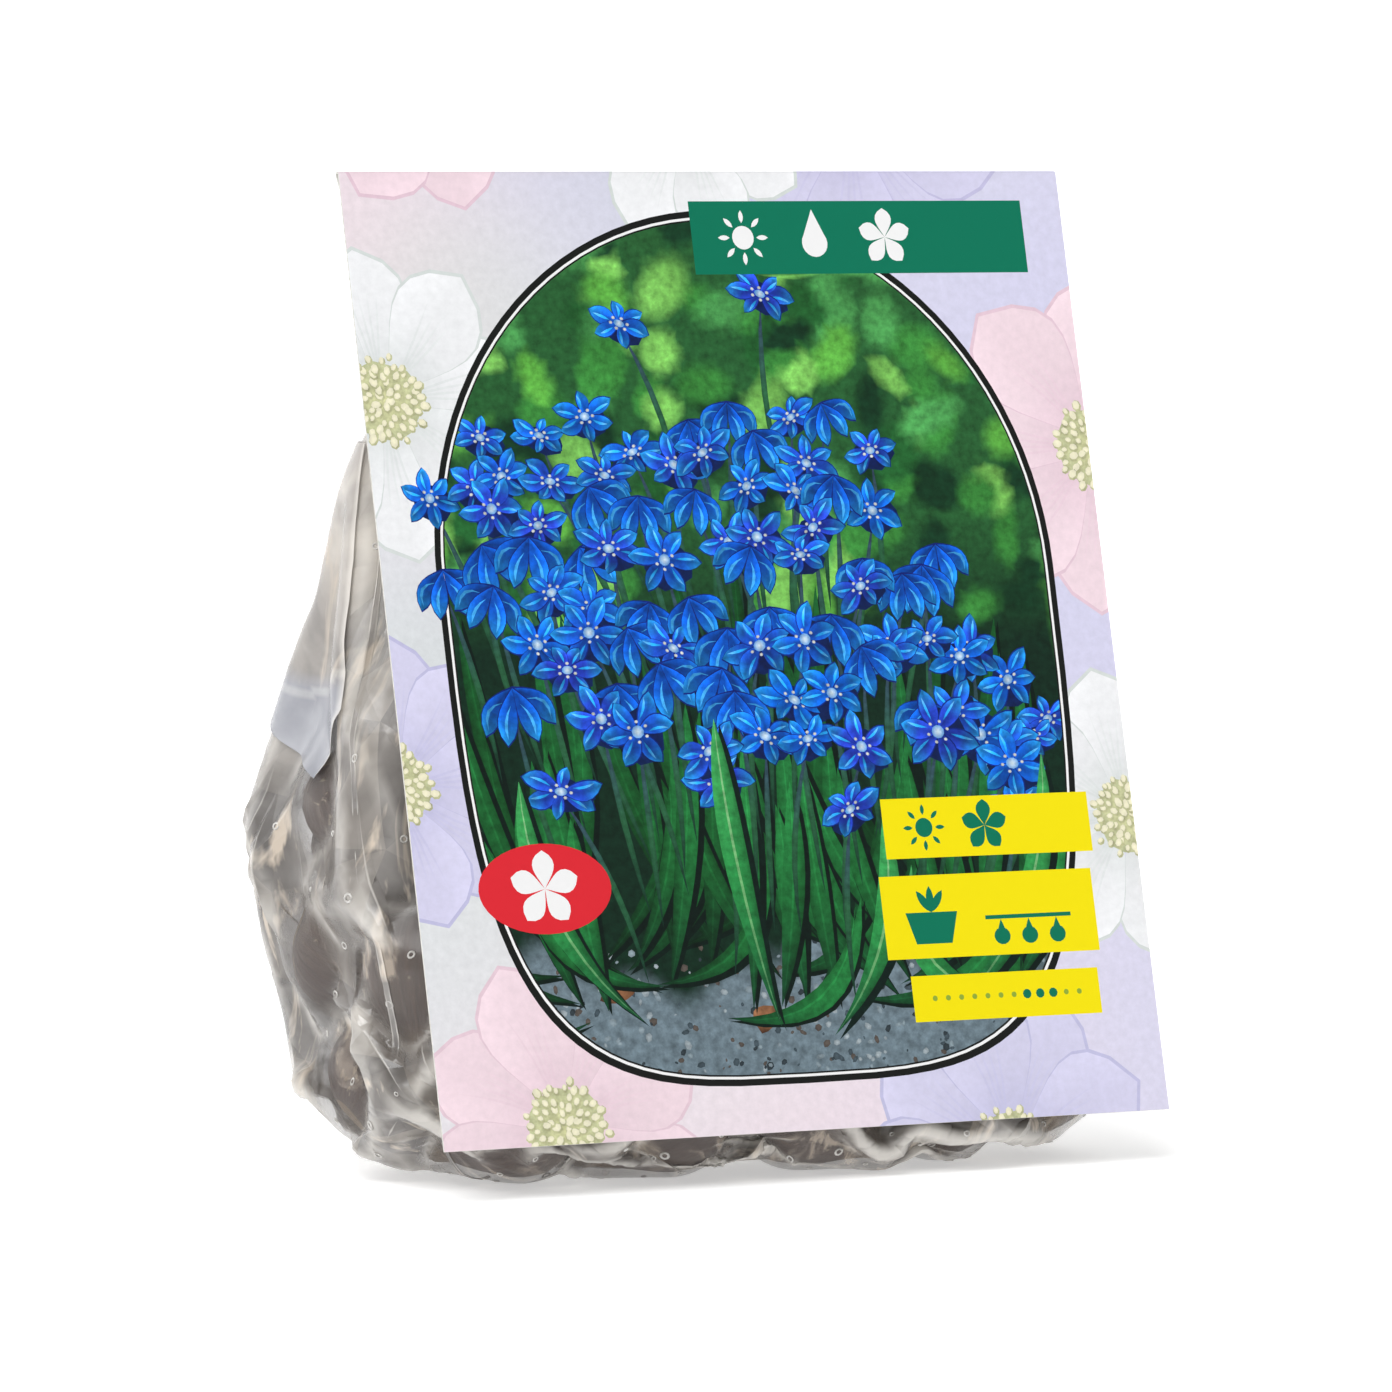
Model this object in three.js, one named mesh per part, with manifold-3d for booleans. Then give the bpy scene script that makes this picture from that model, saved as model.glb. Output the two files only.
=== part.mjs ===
// A shop pack of flower bulbs: forty squill bulbs in a clear film bag, whose neck is glued into
// the fold of a tall header card. The pack stands on the filled bag, and the card leans back on it.
//
// Millimetres. X runs across the card, -Y is the card's printed side and +Z is up. The pack stands
// on z = 0, with the origin at the bottom centre of its bounding box.

import * as THREE from 'three';
import { mergeVertices } from 'three/addons/utils/BufferGeometryUtils.js';
import Module from 'manifold-3d';

// ---- Driving dimensions ---------------------------------------------------------------------

const card = {
  width: 140,
  height: 168, // of the front panel, fold included
  flap: 22, // height of the short panel behind the neck
  flapTaper: 4, // that each side of it loses on the way down
  board: 0.5,
  lean: THREE.MathUtils.degToRad(14), // from upright
  lift: 9.3, // of its lower edge above the ground
};

const glue = { width: 90, height: 11, thickness: 0.15, belowFold: 5, gap: 0.12 };

const film = {
  wall: 0.5,
  neck: 0.5, // both plies, pressed flat in the fold
  neckTop: 2.5, // below the top of the card
  neckHeight: 22,
};

const bulb = {
  count: 40,
  girth: [77, 80], // around the widest part
  clearance: 0.02, // left free between two bulbs
  filmClearance: 0.4,
  facets: 14,
};

const vents = { radius: 2, rows: 2, columns: 3, pitch: 24, lowest: 104, facets: 12 };

// How the filled film hangs: at each height above the ground, its half width, how far its front
// stands back from the card, its depth from front to back, and how square its outline is.
const bagShape = [
  { z: 0, halfWidth: 49, inset: 7.5, depth: 56, square: 2.9 },
  { z: 3, halfWidth: 60, inset: 3, depth: 61, square: 3.4 },
  { z: 8, halfWidth: 69, inset: 0.7, depth: 66, square: 3.5 },
  { z: 24, halfWidth: 73, inset: 0, depth: 73, square: 3.3 },
  { z: 50, halfWidth: 75.5, inset: 0, depth: 76, square: 3.2 },
  { z: 72, halfWidth: 75, inset: 0, depth: 64, square: 3.1 },
  { z: 92, halfWidth: 71, inset: 0, depth: 48, square: 3.0 },
  { z: 118, halfWidth: 65, inset: 0, depth: 27, square: 2.8 },
  { z: 142, halfWidth: 56, inset: 0, depth: 8.5, square: 3.0 },
];

// ---- Helpers ----------------------------------------------------------------------------------

const tanLean = Math.tan(card.lean);
const cosLean = Math.cos(card.lean);
const foldDepth = 2 * card.board + 4 * glue.gap + 2 * glue.thickness + film.neck;
const neckFront = card.board + 2 * glue.gap + glue.thickness;

// A height along the card, measured from its lower edge, as a height above the ground.
const heightOnCard = (along) => card.lift + along * cosLean;

// A repeatable stream of numbers from 0 to 1.
function randomStream(seed) {
  let state = seed;
  return () => {
    state = (state + 0x6d2b79f5) | 0;
    let t = Math.imul(state ^ (state >>> 15), 1 | state);
    t = (t + Math.imul(t ^ (t >>> 7), 61 | t)) ^ t;
    return ((t ^ (t >>> 14)) >>> 0) / 4294967296;
  };
}

// A smooth value of one column of a table of rows, at height z.
function smoothColumn(rows, column, z) {
  const last = rows.length - 1;
  if (z <= rows[0].z) return rows[0][column];
  if (z >= rows[last].z) return rows[last][column];
  const i = rows.findIndex((row) => row.z > z) - 1;
  const slope = (k) => {
    const low = rows[Math.max(k - 1, 0)];
    const high = rows[Math.min(k + 1, last)];
    return (high[column] - low[column]) / (high.z - low.z);
  };
  const span = rows[i + 1].z - rows[i].z;
  const t = (z - rows[i].z) / span;
  const value = (1 + 2 * t) * (1 - t) ** 2 * rows[i][column]
    + t * t * (3 - 2 * t) * rows[i + 1][column];
  return value + t * (1 - t) ** 2 * span * slope(i) - t * t * (1 - t) * span * slope(i + 1);
}

// A closed surface through rings of equal point counts, from the lowest ring to the highest.
function loft(rings) {
  const count = rings[0].length;
  const points = rings.flat();
  const index = [];
  for (let r = 0; r + 1 < rings.length; r++) {
    for (let i = 0; i < count; i++) {
      const a = r * count + i;
      const b = r * count + ((i + 1) % count);
      index.push(a, b, b + count, a, b + count, a + count);
    }
  }
  const cap = (ring, start, facingUp) => {
    const centre = ring.reduce((sum, p) => sum.add(p), new THREE.Vector3());
    points.push(centre.divideScalar(count));
    for (let i = 0; i < count; i++) {
      const a = start + i;
      const b = start + ((i + 1) % count);
      index.push(...(facingUp ? [a, b, points.length - 1] : [b, a, points.length - 1]));
    }
  };
  cap(rings[0], 0, false);
  cap(rings.at(-1), (rings.length - 1) * count, true);
  return new THREE.BufferGeometry().setFromPoints(points).setIndex(index);
}

const wasm = await Module();
wasm.setup();

function toSolid(geometry) {
  const bare = new THREE.BufferGeometry();
  bare.setAttribute('position', geometry.getAttribute('position'));
  bare.setIndex(geometry.getIndex());
  const merged = mergeVertices(bare, 1e-4);
  return new wasm.Manifold(new wasm.Mesh({
    numProp: 3,
    vertProperties: merged.getAttribute('position').array,
    triVerts: new Uint32Array(merged.getIndex().array),
  }));
}

function fromSolid(solid) {
  const { vertProperties, triVerts } = solid.getMesh();
  const geometry = new THREE.BufferGeometry();
  geometry.setAttribute('position', new THREE.BufferAttribute(new Float32Array(vertProperties), 3));
  geometry.setIndex(new THREE.BufferAttribute(new Uint32Array(triVerts), 1));
  geometry.computeVertexNormals();
  return geometry;
}

function named(name, geometry, material) {
  const mesh = new THREE.Mesh(geometry, material);
  mesh.name = name;
  return mesh;
}

// ---- Materials ----------------------------------------------------------------------------------

const printedBoard = new THREE.MeshStandardMaterial({ color: 0xd5d7ee, roughness: 0.42 });
const meltGlue = new THREE.MeshStandardMaterial({ color: 0xe9e2cf, roughness: 0.5 });
const clearFilm = new THREE.MeshStandardMaterial({
  color: 0xb9b4ae, roughness: 0.22, transparent: true, opacity: 0.45,
});
const bulbSkin = new THREE.MeshStandardMaterial({ color: 0x54403f, roughness: 0.6 });

// ---- Header card ------------------------------------------------------------------------------------

// One board, folded over at the top: a tall front panel and a short flap behind, whose sides taper
// so that its corners stay out of sight.
function headerCard() {
  const { board, height, flap, flapTaper, width } = card;
  const outerRadius = foldDepth / 2;
  const springLine = height - outerRadius;
  const outline = new THREE.Shape();
  outline.moveTo(0, 0);
  outline.lineTo(board, 0);
  outline.lineTo(board, springLine);
  outline.absarc(outerRadius, springLine, outerRadius - board, Math.PI, 0, true);
  outline.lineTo(foldDepth - board, height - flap);
  outline.lineTo(foldDepth, height - flap);
  outline.lineTo(foldDepth, springLine);
  outline.absarc(outerRadius, springLine, outerRadius, 0, Math.PI, false);
  outline.closePath();
  const folded = new THREE.ExtrudeGeometry(outline, {
    depth: width, bevelEnabled: false, curveSegments: 8,
  });
  folded.applyMatrix4(new THREE.Matrix4().makeBasis(
    new THREE.Vector3(0, 1, 0), new THREE.Vector3(0, 0, 1), new THREE.Vector3(1, 0, 0),
  ));
  folded.translate(-width / 2, 0, 0);

  const offcut = (side) => {
    const wedge = new THREE.Shape();
    wedge.moveTo(side * (width / 2), springLine);
    wedge.lineTo(side * (width / 2 - flapTaper), height - flap);
    wedge.lineTo(side * (width / 2 - flapTaper), height - flap - 1);
    wedge.lineTo(side * (width / 2 + 1), height - flap - 1);
    wedge.lineTo(side * (width / 2 + 1), springLine);
    wedge.closePath();
    const geometry = new THREE.ExtrudeGeometry(wedge, { depth: 2 * board, bevelEnabled: false });
    geometry.rotateX(Math.PI / 2);
    geometry.translate(0, foldDepth + board / 2, 0);
    return toSolid(geometry);
  };
  const cut = toSolid(folded).subtract(offcut(-1)).subtract(offcut(1));
  return named('header_card', fromSolid(cut), printedBoard);
}

// A strip of melt glue that holds one ply of the neck to the board beside it.
function glueStrip(name, front) {
  const geometry = new THREE.BoxGeometry(glue.width, glue.thickness, glue.height);
  const top = card.height - foldDepth / 2 - glue.belowFold;
  geometry.translate(0, front + glue.thickness / 2, top - glue.height / 2);
  return named(name, geometry, meltGlue);
}

// ---- Film bag -----------------------------------------------------------------------------------------

const neckBase = heightOnCard(card.height - film.neckTop - film.neckHeight);
const neckCrown = heightOnCard(card.height - film.neckTop);

// The film's outline at height z, taken in by a distance: its half width, centre, half depth and
// squareness. Above the filled part both plies run into the flat neck.
function outlineAt(z, takenIn = 0) {
  const inset = smoothColumn(bagShape, 'inset', z);
  const front = neckFront / cosLean + (z - card.lift) * tanLean + inset;
  const rise = Math.min(Math.max((z - bagShape.at(-1).z) / (neckBase - bagShape.at(-1).z), 0), 1);
  const filled = smoothColumn(bagShape, 'depth', z);
  const depth = THREE.MathUtils.lerp(filled, film.neck / cosLean, rise);
  return {
    halfWidth: smoothColumn(bagShape, 'halfWidth', z) - takenIn,
    centre: front + depth / 2,
    halfDepth: depth / 2 - takenIn,
    square: smoothColumn(bagShape, 'square', z),
  };
}

function outlinePoint(outline, angle, z) {
  const swell = (value) => Math.sign(value) * Math.abs(value) ** (2 / outline.square);
  return new THREE.Vector3(
    outline.halfWidth * swell(Math.cos(angle)),
    outline.centre + outline.halfDepth * swell(Math.sin(angle)),
    z,
  );
}

const outlineFacets = 56;

function bagSurface(heights, takenIn) {
  return loft(heights.map((z) => {
    const outline = outlineAt(z, takenIn);
    return Array.from({ length: outlineFacets }, (_, i) => (
      outlinePoint(outline, (2 * Math.PI * (i + 0.5)) / outlineFacets, z)
    ));
  }));
}

// Heights from low to high that lie closer together near the ground, where the film turns under.
function heightsBetween(low, high, count) {
  return Array.from({ length: count + 1 }, (_, i) => low + (high - low) * (i / count) ** 1.7);
}

// Punched holes, high on the back, that let the bulbs breathe.
function ventPins() {
  const pins = [];
  for (let row = 0; row < vents.rows; row++) {
    for (let column = 0; column < vents.columns; column++) {
      const z = vents.lowest + (row * vents.pitch) / 2;
      const x = (column - (vents.columns - 1) / 2) * vents.pitch;
      const outline = outlineAt(z);
      const share = (1 - Math.abs(x / outline.halfWidth) ** outline.square) ** (1 / outline.square);
      const pin = new THREE.CylinderGeometry(vents.radius, vents.radius, 8, vents.facets);
      pin.translate(x, outline.centre + outline.halfDepth * share, z);
      pins.push(toSolid(pin));
    }
  }
  return pins;
}

function filmBag() {
  const crownHeights = [neckBase, neckCrown];
  const outside = toSolid(bagSurface([...heightsBetween(0, bagShape.at(-1).z, 18), ...crownHeights], 0));
  const cavityTop = bagShape.at(-1).z - 2;
  const inside = toSolid(bagSurface(heightsBetween(film.wall, cavityTop, 18), film.wall));
  const hollow = outside.subtract(inside);
  return named('film_bag', fromSolid(ventPins().reduce((solid, pin) => solid.subtract(pin), hollow)), clearFilm);
}

// ---- Bulbs ----------------------------------------------------------------------------------------------

// A bulb's outline, in widest radii: [distance along its axis from the widest part, radius].
const bulbOutline = [
  [-0.86, 0], [-0.84, 0.42], [-0.46, 0.88], [0, 1],
  [0.45, 0.87], [0.95, 0.49], [1.5, 0.2], [1.58, 0],
];
const neckReach = 1.25; // from the widest part to the middle of the dry neck, in widest radii
const neckSize = 0.35; // radius that the neck keeps free, in widest radii
const probes = [0, 1 / 3, 2 / 3, 1]; // where along the axis a bulb feels its neighbours

// How far a point lies outside the film, as a share of the bag's size there: negative inside.
function beyondFilm(x, y, z) {
  const outline = outlineAt(z, film.wall);
  const across = Math.abs(x / outline.halfWidth) ** outline.square;
  const deep = Math.abs((y - outline.centre) / outline.halfDepth) ** outline.square;
  return (across + deep) ** (1 / outline.square) - 1;
}

function steepnessAt({ x, y, z }) {
  const h = 0.5;
  return new THREE.Vector3(
    beyondFilm(x + h, y, z) - beyondFilm(x - h, y, z),
    beyondFilm(x, y + h, z) - beyondFilm(x, y - h, z),
    beyondFilm(x, y, z + h) - beyondFilm(x, y, z - h),
  ).divideScalar(2 * h);
}

// Where a ball presses hardest on the film: how deep it reaches through it there, and which way is
// outward. It is felt level with its centre, above it and at steps below it.
const dips = [-0.6, -0.25, 0, 0.3, 0.6, 0.95, 1.25];
function pressOnFilm(centre, radius) {
  const level = (vector) => new THREE.Vector3(vector.x, vector.y, 0).normalize();
  let facing = level(steepnessAt(centre));
  facing = level(steepnessAt(centre.clone().addScaledVector(facing, radius)));
  let hardest = { depth: -Infinity, outward: facing };
  for (const dip of dips) {
    const place = centre.clone().addScaledVector(facing, radius * Math.cos(dip));
    place.z = Math.max(place.z - radius * Math.sin(dip), film.wall);
    const beyond = beyondFilm(place.x, place.y, place.z);
    if (beyond > 0) {
      const outward = steepnessAt(place);
      const depth = beyond / outward.length();
      if (depth > hardest.depth) hardest = { depth, outward: outward.normalize() };
    }
  }
  return hardest;
}

// Bulbs poured into the bag, shaken and left to settle. Each is a big round body and a small neck
// a fixed distance apart; both are pushed out of the film and out of every other bulb.
function settleBulbs() {
  const random = randomStream(21);
  const perLayer = 15;
  const loose = Array.from({ length: bulb.count }, (_, i) => {
    const [least, most] = bulb.girth;
    const radius = (least + (most - least) * random()) / (2 * Math.PI);
    const layer = Math.floor(i / perLayer);
    const column = i % 5;
    const row = Math.floor((i % perLayer) / 5);
    const body = new THREE.Vector3(
      (column - 2) * 26 + 4 * random() - 2,
      16 + layer * 8 + row * 22 + 4 * random(),
      16 + layer * 29 + 4 * random(),
    );
    const aim = new THREE.Vector3(random() - 0.5, random() - 0.5, random() - 0.5).normalize();
    return { radius, ends: [body, body.clone().addScaledVector(aim, neckReach * radius)] };
  });
  const probe = (one, t) => one.ends[0].clone().lerp(one.ends[1], t);
  const reach = (one, t) => one.radius * (1 - (1 - neckSize) * t) + bulb.clearance / 2;
  const push = (one, t, move) => {
    const share = (1 - t) ** 2 + t * t;
    one.ends[0].addScaledVector(move, (1 - t) / share);
    one.ends[1].addScaledVector(move, t / share);
  };
  const keepApart = (one, other) => {
    if (one.ends[0].distanceTo(other.ends[0]) > 4 * (one.radius + other.radius) / 1.9) return;
    for (const t of probes) {
      for (const u of probes) {
        const between = probe(one, t).sub(probe(other, u));
        const overlap = reach(one, t) + reach(other, u) - between.length();
        if (overlap > 0) {
          between.normalize().multiplyScalar(overlap / 2);
          push(one, t, between);
          push(other, u, between.negate());
        }
      }
    }
  };
  const keepInside = (one) => {
    for (const t of probes) {
      const radius = reach(one, t) + bulb.filmClearance;
      const { depth, outward } = pressOnFilm(probe(one, t), radius);
      if (depth > 0) push(one, t, outward.multiplyScalar(-depth));
      const low = radius + film.wall - probe(one, t).z;
      if (low > 0) push(one, t, new THREE.Vector3(0, 0, low));
    }
  };
  const keepLength = (one) => {
    const axis = one.ends[1].clone().sub(one.ends[0]);
    const error = axis.length() - neckReach * one.radius;
    axis.normalize().multiplyScalar(error / 2);
    one.ends[0].add(axis);
    one.ends[1].sub(axis);
  };
  const shaking = 500;
  const settling = 500;
  const resting = 300;
  for (let step = 0; step < shaking + settling + resting; step++) {
    const shake = Math.max(1 - step / shaking, 0) * 0.8;
    const fall = step < shaking + settling ? 0.12 : 0;
    for (const one of loose) {
      for (const end of one.ends) {
        end.x += shake * (random() - 0.5);
        end.y += shake * (random() - 0.5);
        end.z += shake * (random() - 0.5) - fall;
      }
    }
    for (let i = 0; i < loose.length; i++) {
      for (let j = i + 1; j < loose.length; j++) keepApart(loose[i], loose[j]);
    }
    for (const one of loose) {
      keepInside(one);
      keepLength(one);
    }
  }
  return loose;
}

function bulbMesh(one, number) {
  const size = one.radius - bulb.clearance / 2;
  const profile = bulbOutline.map(([along, radius]) => new THREE.Vector2(radius * size, along * size));
  const mesh = named(
    `bulb_${String(number).padStart(2, '0')}`,
    new THREE.LatheGeometry(profile, bulb.facets),
    bulbSkin,
  );
  const axis = one.ends[1].clone().sub(one.ends[0]).normalize();
  mesh.quaternion.setFromUnitVectors(new THREE.Vector3(0, 1, 0), axis);
  mesh.position.copy(one.ends[0]);
  return mesh;
}

// ---- Assembly ---------------------------------------------------------------------------------------------

const leaning = new THREE.Group();
leaning.rotation.x = -card.lean;
leaning.position.z = card.lift;
leaning.add(
  headerCard(),
  glueStrip('front_glue_strip', card.board + glue.gap),
  glueStrip('rear_glue_strip', neckFront + film.neck + glue.gap),
);

const pack = new THREE.Group();
pack.add(leaning, filmBag(), ...settleBulbs().map((one, i) => bulbMesh(one, i + 1)));

// The whole pack is moved so that its bounding box is centred on the origin.
const bounds = new THREE.Box3().setFromObject(pack, true);
const middle = bounds.getCenter(new THREE.Vector3());
pack.position.set(-middle.x, -middle.y, -bounds.min.z);

export default pack;
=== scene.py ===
"""A shop pack of squill bulbs: forty small bulbs in a creased film bag, whose neck is glued into
the fold of a tall printed card. Everything is in metres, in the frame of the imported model."""

import math
import random

import bmesh
import bpy
import numpy as np
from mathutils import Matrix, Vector, noise
from mathutils.bvhtree import BVHTree
from mathutils.geometry import delaunay_2d_cdt


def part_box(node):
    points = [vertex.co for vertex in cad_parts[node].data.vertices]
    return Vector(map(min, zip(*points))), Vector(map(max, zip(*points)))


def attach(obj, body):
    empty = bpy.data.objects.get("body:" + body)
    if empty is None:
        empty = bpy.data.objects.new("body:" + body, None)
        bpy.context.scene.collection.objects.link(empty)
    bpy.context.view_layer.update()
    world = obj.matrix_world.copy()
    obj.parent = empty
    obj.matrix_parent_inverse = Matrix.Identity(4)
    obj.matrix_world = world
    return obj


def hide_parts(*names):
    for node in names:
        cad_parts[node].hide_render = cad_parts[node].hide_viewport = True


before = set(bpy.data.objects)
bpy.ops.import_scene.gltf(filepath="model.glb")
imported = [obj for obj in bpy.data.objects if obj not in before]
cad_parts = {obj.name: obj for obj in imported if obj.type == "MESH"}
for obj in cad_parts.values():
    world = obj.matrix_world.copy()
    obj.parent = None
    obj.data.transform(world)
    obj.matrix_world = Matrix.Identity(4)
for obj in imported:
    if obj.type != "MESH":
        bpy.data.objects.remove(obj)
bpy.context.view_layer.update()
scene = bpy.context.scene
MM = 0.001


# ---- Camera ------------------------------------------------------------------------------------
# A long lens, a little above the ground and well to the left of the card's middle. It stands far
# enough off that upright edges stay nearly parallel.

azimuth, elevation = math.radians(-27.49), math.radians(3.6)
aim, camera_distance = Vector((-22.8, -43.5, 84.0)) * MM, 1.4402
backwards = Vector((
    math.sin(azimuth) * math.cos(elevation),
    -math.cos(azimuth) * math.cos(elevation),
    math.sin(elevation),
))
lens = bpy.data.cameras.new("camera")
lens.lens, lens.sensor_width = 221.1, 36
lens.clip_start, lens.clip_end = 0.1, 50
camera = bpy.data.objects.new("camera", lens)
camera.location = aim + backwards * camera_distance
camera.rotation_euler = backwards.to_track_quat("Z", "Y").to_euler()
scene.collection.objects.link(camera)
scene.camera = camera
scene.view_settings.view_transform = "Standard"


# ---- Studio ------------------------------------------------------------------------------------
# A white floor that bends up into a backdrop. One broad lamp lights it softly from above, the left
# and the front, and the white room around fills the shadows.

def add_mesh(name, points, faces):
    """A new object from a list of points and faces, already in its place."""
    mesh = bpy.data.meshes.new(name)
    mesh.from_pydata([tuple(point) for point in points], [], [tuple(face) for face in faces])
    mesh.update()
    made = bpy.data.objects.new(name, mesh)
    scene.collection.objects.link(made)
    return made


def plug(tree, socket, value):
    """Gives a node's input a value, or links another node's output to it."""
    if isinstance(value, bpy.types.NodeSocket):
        tree.links.new(value, socket)
    else:
        socket.default_value = (*value, 1) if socket.type == "RGBA" and len(value) == 3 else value


def set_shader(material, **sockets):
    """Sets or links inputs of the material's shader, named with _ for spaces."""
    shader = material.node_tree.nodes["Principled BSDF"]
    for name, value in sockets.items():
        plug(material.node_tree, shader.inputs[name.replace("_", " ")], value)


def new_material(name, **sockets):
    material = bpy.data.materials.new(name)
    material.use_nodes = True
    set_shader(material, **sockets)
    return material


sweep, far = 1.6, 3.2  # the backdrop's bend, and how far behind the object it stands
curve = [(far - sweep + sweep * math.sin(turn), sweep - sweep * math.cos(turn))
         for turn in np.linspace(0, math.pi / 2, 25)]
front_end, ceiling, half_wide = -60.0, 7.0, 8.0
profile = [(front_end, 0.0), *curve, (far, ceiling)]
floor = add_mesh("floor", [(x, y, z) for y, z in profile for x in (-half_wide, half_wide)],
                 [(2 * i, 2 * i + 1, 2 * i + 3, 2 * i + 2) for i in range(len(profile) - 1)])
floor.data.shade_smooth()
floor.data.materials.append(new_material(
    "white_floor", Base_Color=(0.86, 0.86, 0.86), Roughness=0.9, Emission_Color=(1, 1, 1),
    Emission_Strength=0.45))

world = bpy.data.worlds.new("studio")
world.use_nodes = True
backdrop_light = world.node_tree.nodes["Background"].inputs
backdrop_light["Color"].default_value, backdrop_light["Strength"].default_value = (1, 1, 1, 1), 0.35
scene.world = world

sky = bpy.data.lights.new("soft_box", "SUN")
sky.energy, sky.angle = 1.95, math.radians(35)
soft_box = bpy.data.objects.new("soft_box", sky)
soft_box.rotation_euler = Vector((-0.62, -0.62, 0.95)).to_track_quat("Z", "Y").to_euler()
scene.collection.objects.link(soft_box)


# ---- Bulbs -------------------------------------------------------------------------------------
# Forty dry bulbs in thin papery skins, poured in loose. Each is turned from one outline, then
# dented and ribbed by noise of its own, with a withered neck and a corky root plate.

bulb_outline = (
    (-0.80, 0.0), (-0.83, 0.16), (-0.80, 0.30), (-0.74, 0.50), (-0.60, 0.74), (-0.42, 0.89),
    (-0.20, 0.965), (0.0, 0.985), (0.2, 0.95), (0.42, 0.865), (0.62, 0.745), (0.8, 0.615),
    (0.98, 0.475), (1.14, 0.345), (1.28, 0.25), (1.4, 0.19), (1.5, 0.15), (1.56, 0.07), (1.57, 0.0),
)  # along the axis and out from it, in widest radii


def read_bulb(node):
    """Where a CAD bulb lies: its widest point, its axis towards the neck, and its radius."""
    points = np.array([vertex.co for vertex in node.data.vertices])
    points = np.unique(points.round(6), axis=0)
    centred = points - points.mean(0)
    axis = np.linalg.svd(centred, full_matrices=False)[2][0]
    along = centred @ axis
    across = np.linalg.norm(centred - along[:, None] * axis, axis=1)
    widest = along[across > 0.97 * across.max()].mean()
    if along.max() - widest < widest - along.min():
        axis, along, widest = -axis, -along, -widest
    return points.mean(0) + widest * axis, axis, across.max()


bulbs = [read_bulb(node) for name, node in sorted(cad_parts.items())
         if name.startswith("bulb_")]


def bulb_mesh(name, centre, axis, radius, seed):
    """A closed bulb of rings round its axis. Its UV map runs round it and from root to neck."""
    around, along = 40, 30
    knots = np.array(bulb_outline)
    lengths = np.concatenate([[0], np.cumsum(np.hypot(*np.diff(knots, axis=0).T))])
    steps = np.linspace(0, lengths[-1], along + 1)
    heights = np.interp(steps, lengths, knots[:, 0])
    radii = np.interp(steps, lengths, knots[:, 1])
    turn = Vector(axis).to_track_quat("Z", "Y").to_matrix()
    shift = Vector((seed * 7.3, seed * 3.1, seed * 1.7))
    points = []
    for height, ring in zip(heights[1:-1], radii[1:-1]):
        for i in range(around):
            angle = 2 * math.pi * i / around
            bare = Vector((ring * math.cos(angle), ring * math.sin(angle), height))
            dent = 0.03 * noise.noise(bare * 1.6 + shift)
            beside = Vector((math.cos(angle) * 6, math.sin(angle) * 6, height * 0.5))
            rib = 0.012 * noise.noise(beside + shift)
            curl = 0.07 * max(height - 1.0, 0) * noise.noise(bare * 3.1 + shift)
            points.append(bare * (1 + dent + rib + curl - 0.02))
    points = [Vector((0, 0, heights[0])), *points, Vector((0, 0, heights[-1]))]
    last, rings = len(points) - 1, along - 1
    faces = []
    for i in range(around):
        a, b = 1 + i, 1 + (i + 1) % around
        faces.append((0, b, a))
        faces += [(k + a, k + b, k + around + b, k + around + a)
                  for k in range(0, (rings - 1) * around, around)]
        faces.append((last - around + i, last - around + (i + 1) % around, last))
    made = add_mesh(name, [Vector(centre) + turn @ (point * radius) for point in points], faces)
    skin = made.data.uv_layers.new(name="skin")
    for polygon in made.data.polygons:
        columns = [((vertex - 1) % around) / around
                   for vertex in polygon.vertices if 0 < vertex < last]
        wraps = max(columns) - min(columns) > 0.5
        for loop, vertex in zip(polygon.loop_indices, polygon.vertices):
            row = 0 if vertex == 0 else rings + 1 if vertex == last else (vertex - 1) // around + 1
            column = ((vertex - 1) % around) / around if 0 < vertex < last else max(columns)
            if wraps and column < 0.5:
                column += 1
            skin.data[loop].uv = (column, row / (rings + 1))
    made.data.shade_smooth()
    return made


def add_node(tree, kind, inputs, **settings):
    """A node with its settings, and its inputs given as values or as sockets to link."""
    made = tree.nodes.new(kind if "Node" in kind else "ShaderNode" + kind)
    for name, value in settings.items():
        setattr(made, name, value)
    for key, value in inputs.items():
        plug(tree, made.inputs[key], value)
    return made


def open_nodes(material):
    """A material's node tree, and the places on its piece that the other nodes can read."""
    tree = material.node_tree
    return tree, add_node(tree, "TexCoord", {}).outputs


def add_scaled(tree, where, scale):
    """The places that where gives, stretched along each axis."""
    return add_node(tree, "Mapping", {"Vector": where, "Scale": scale}).outputs["Vector"]


def add_noise(tree, where, scale, detail, **more):
    """Noise at the places that where gives, about 0.5 on average."""
    inputs = {"Vector": where, "Scale": scale, "Detail": detail, **more}
    return add_node(tree, "TexNoise", inputs).outputs["Fac"]


def add_ramp(tree, factor, *stops):
    """A colour ramp over (position, colour) stops."""
    made = add_node(tree, "ValToRGB", {"Fac": factor})
    elements = made.color_ramp.elements
    for position, colour in stops[2:]:
        elements.new(position)
    for element, (position, colour) in zip(elements, sorted(stops)):
        element.position, element.color = position, (*colour, 1)
    return made.outputs["Color"]


def add_range(tree, value, low, high, first=0.0, last=1.0):
    """A value carried from between low and high to between first and last, and held there."""
    inputs = {"Value": value, "From Min": low, "From Max": high, "To Min": first, "To Max": last}
    return add_node(tree, "MapRange", inputs).outputs["Result"]


def add_math(tree, operation, *values):
    return add_node(tree, "Math", dict(enumerate(values)), operation=operation).outputs[0]


def add_mix(tree, share, first, second, blend="MIX"):
    """Two colours mixed. A colour mix node has its factor at input 0 and its colours at 6 and 7."""
    inputs = {0: share, 6: first, 7: second}
    return add_node(tree, "Mix", inputs, data_type="RGBA", blend_type=blend).outputs[2]


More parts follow.
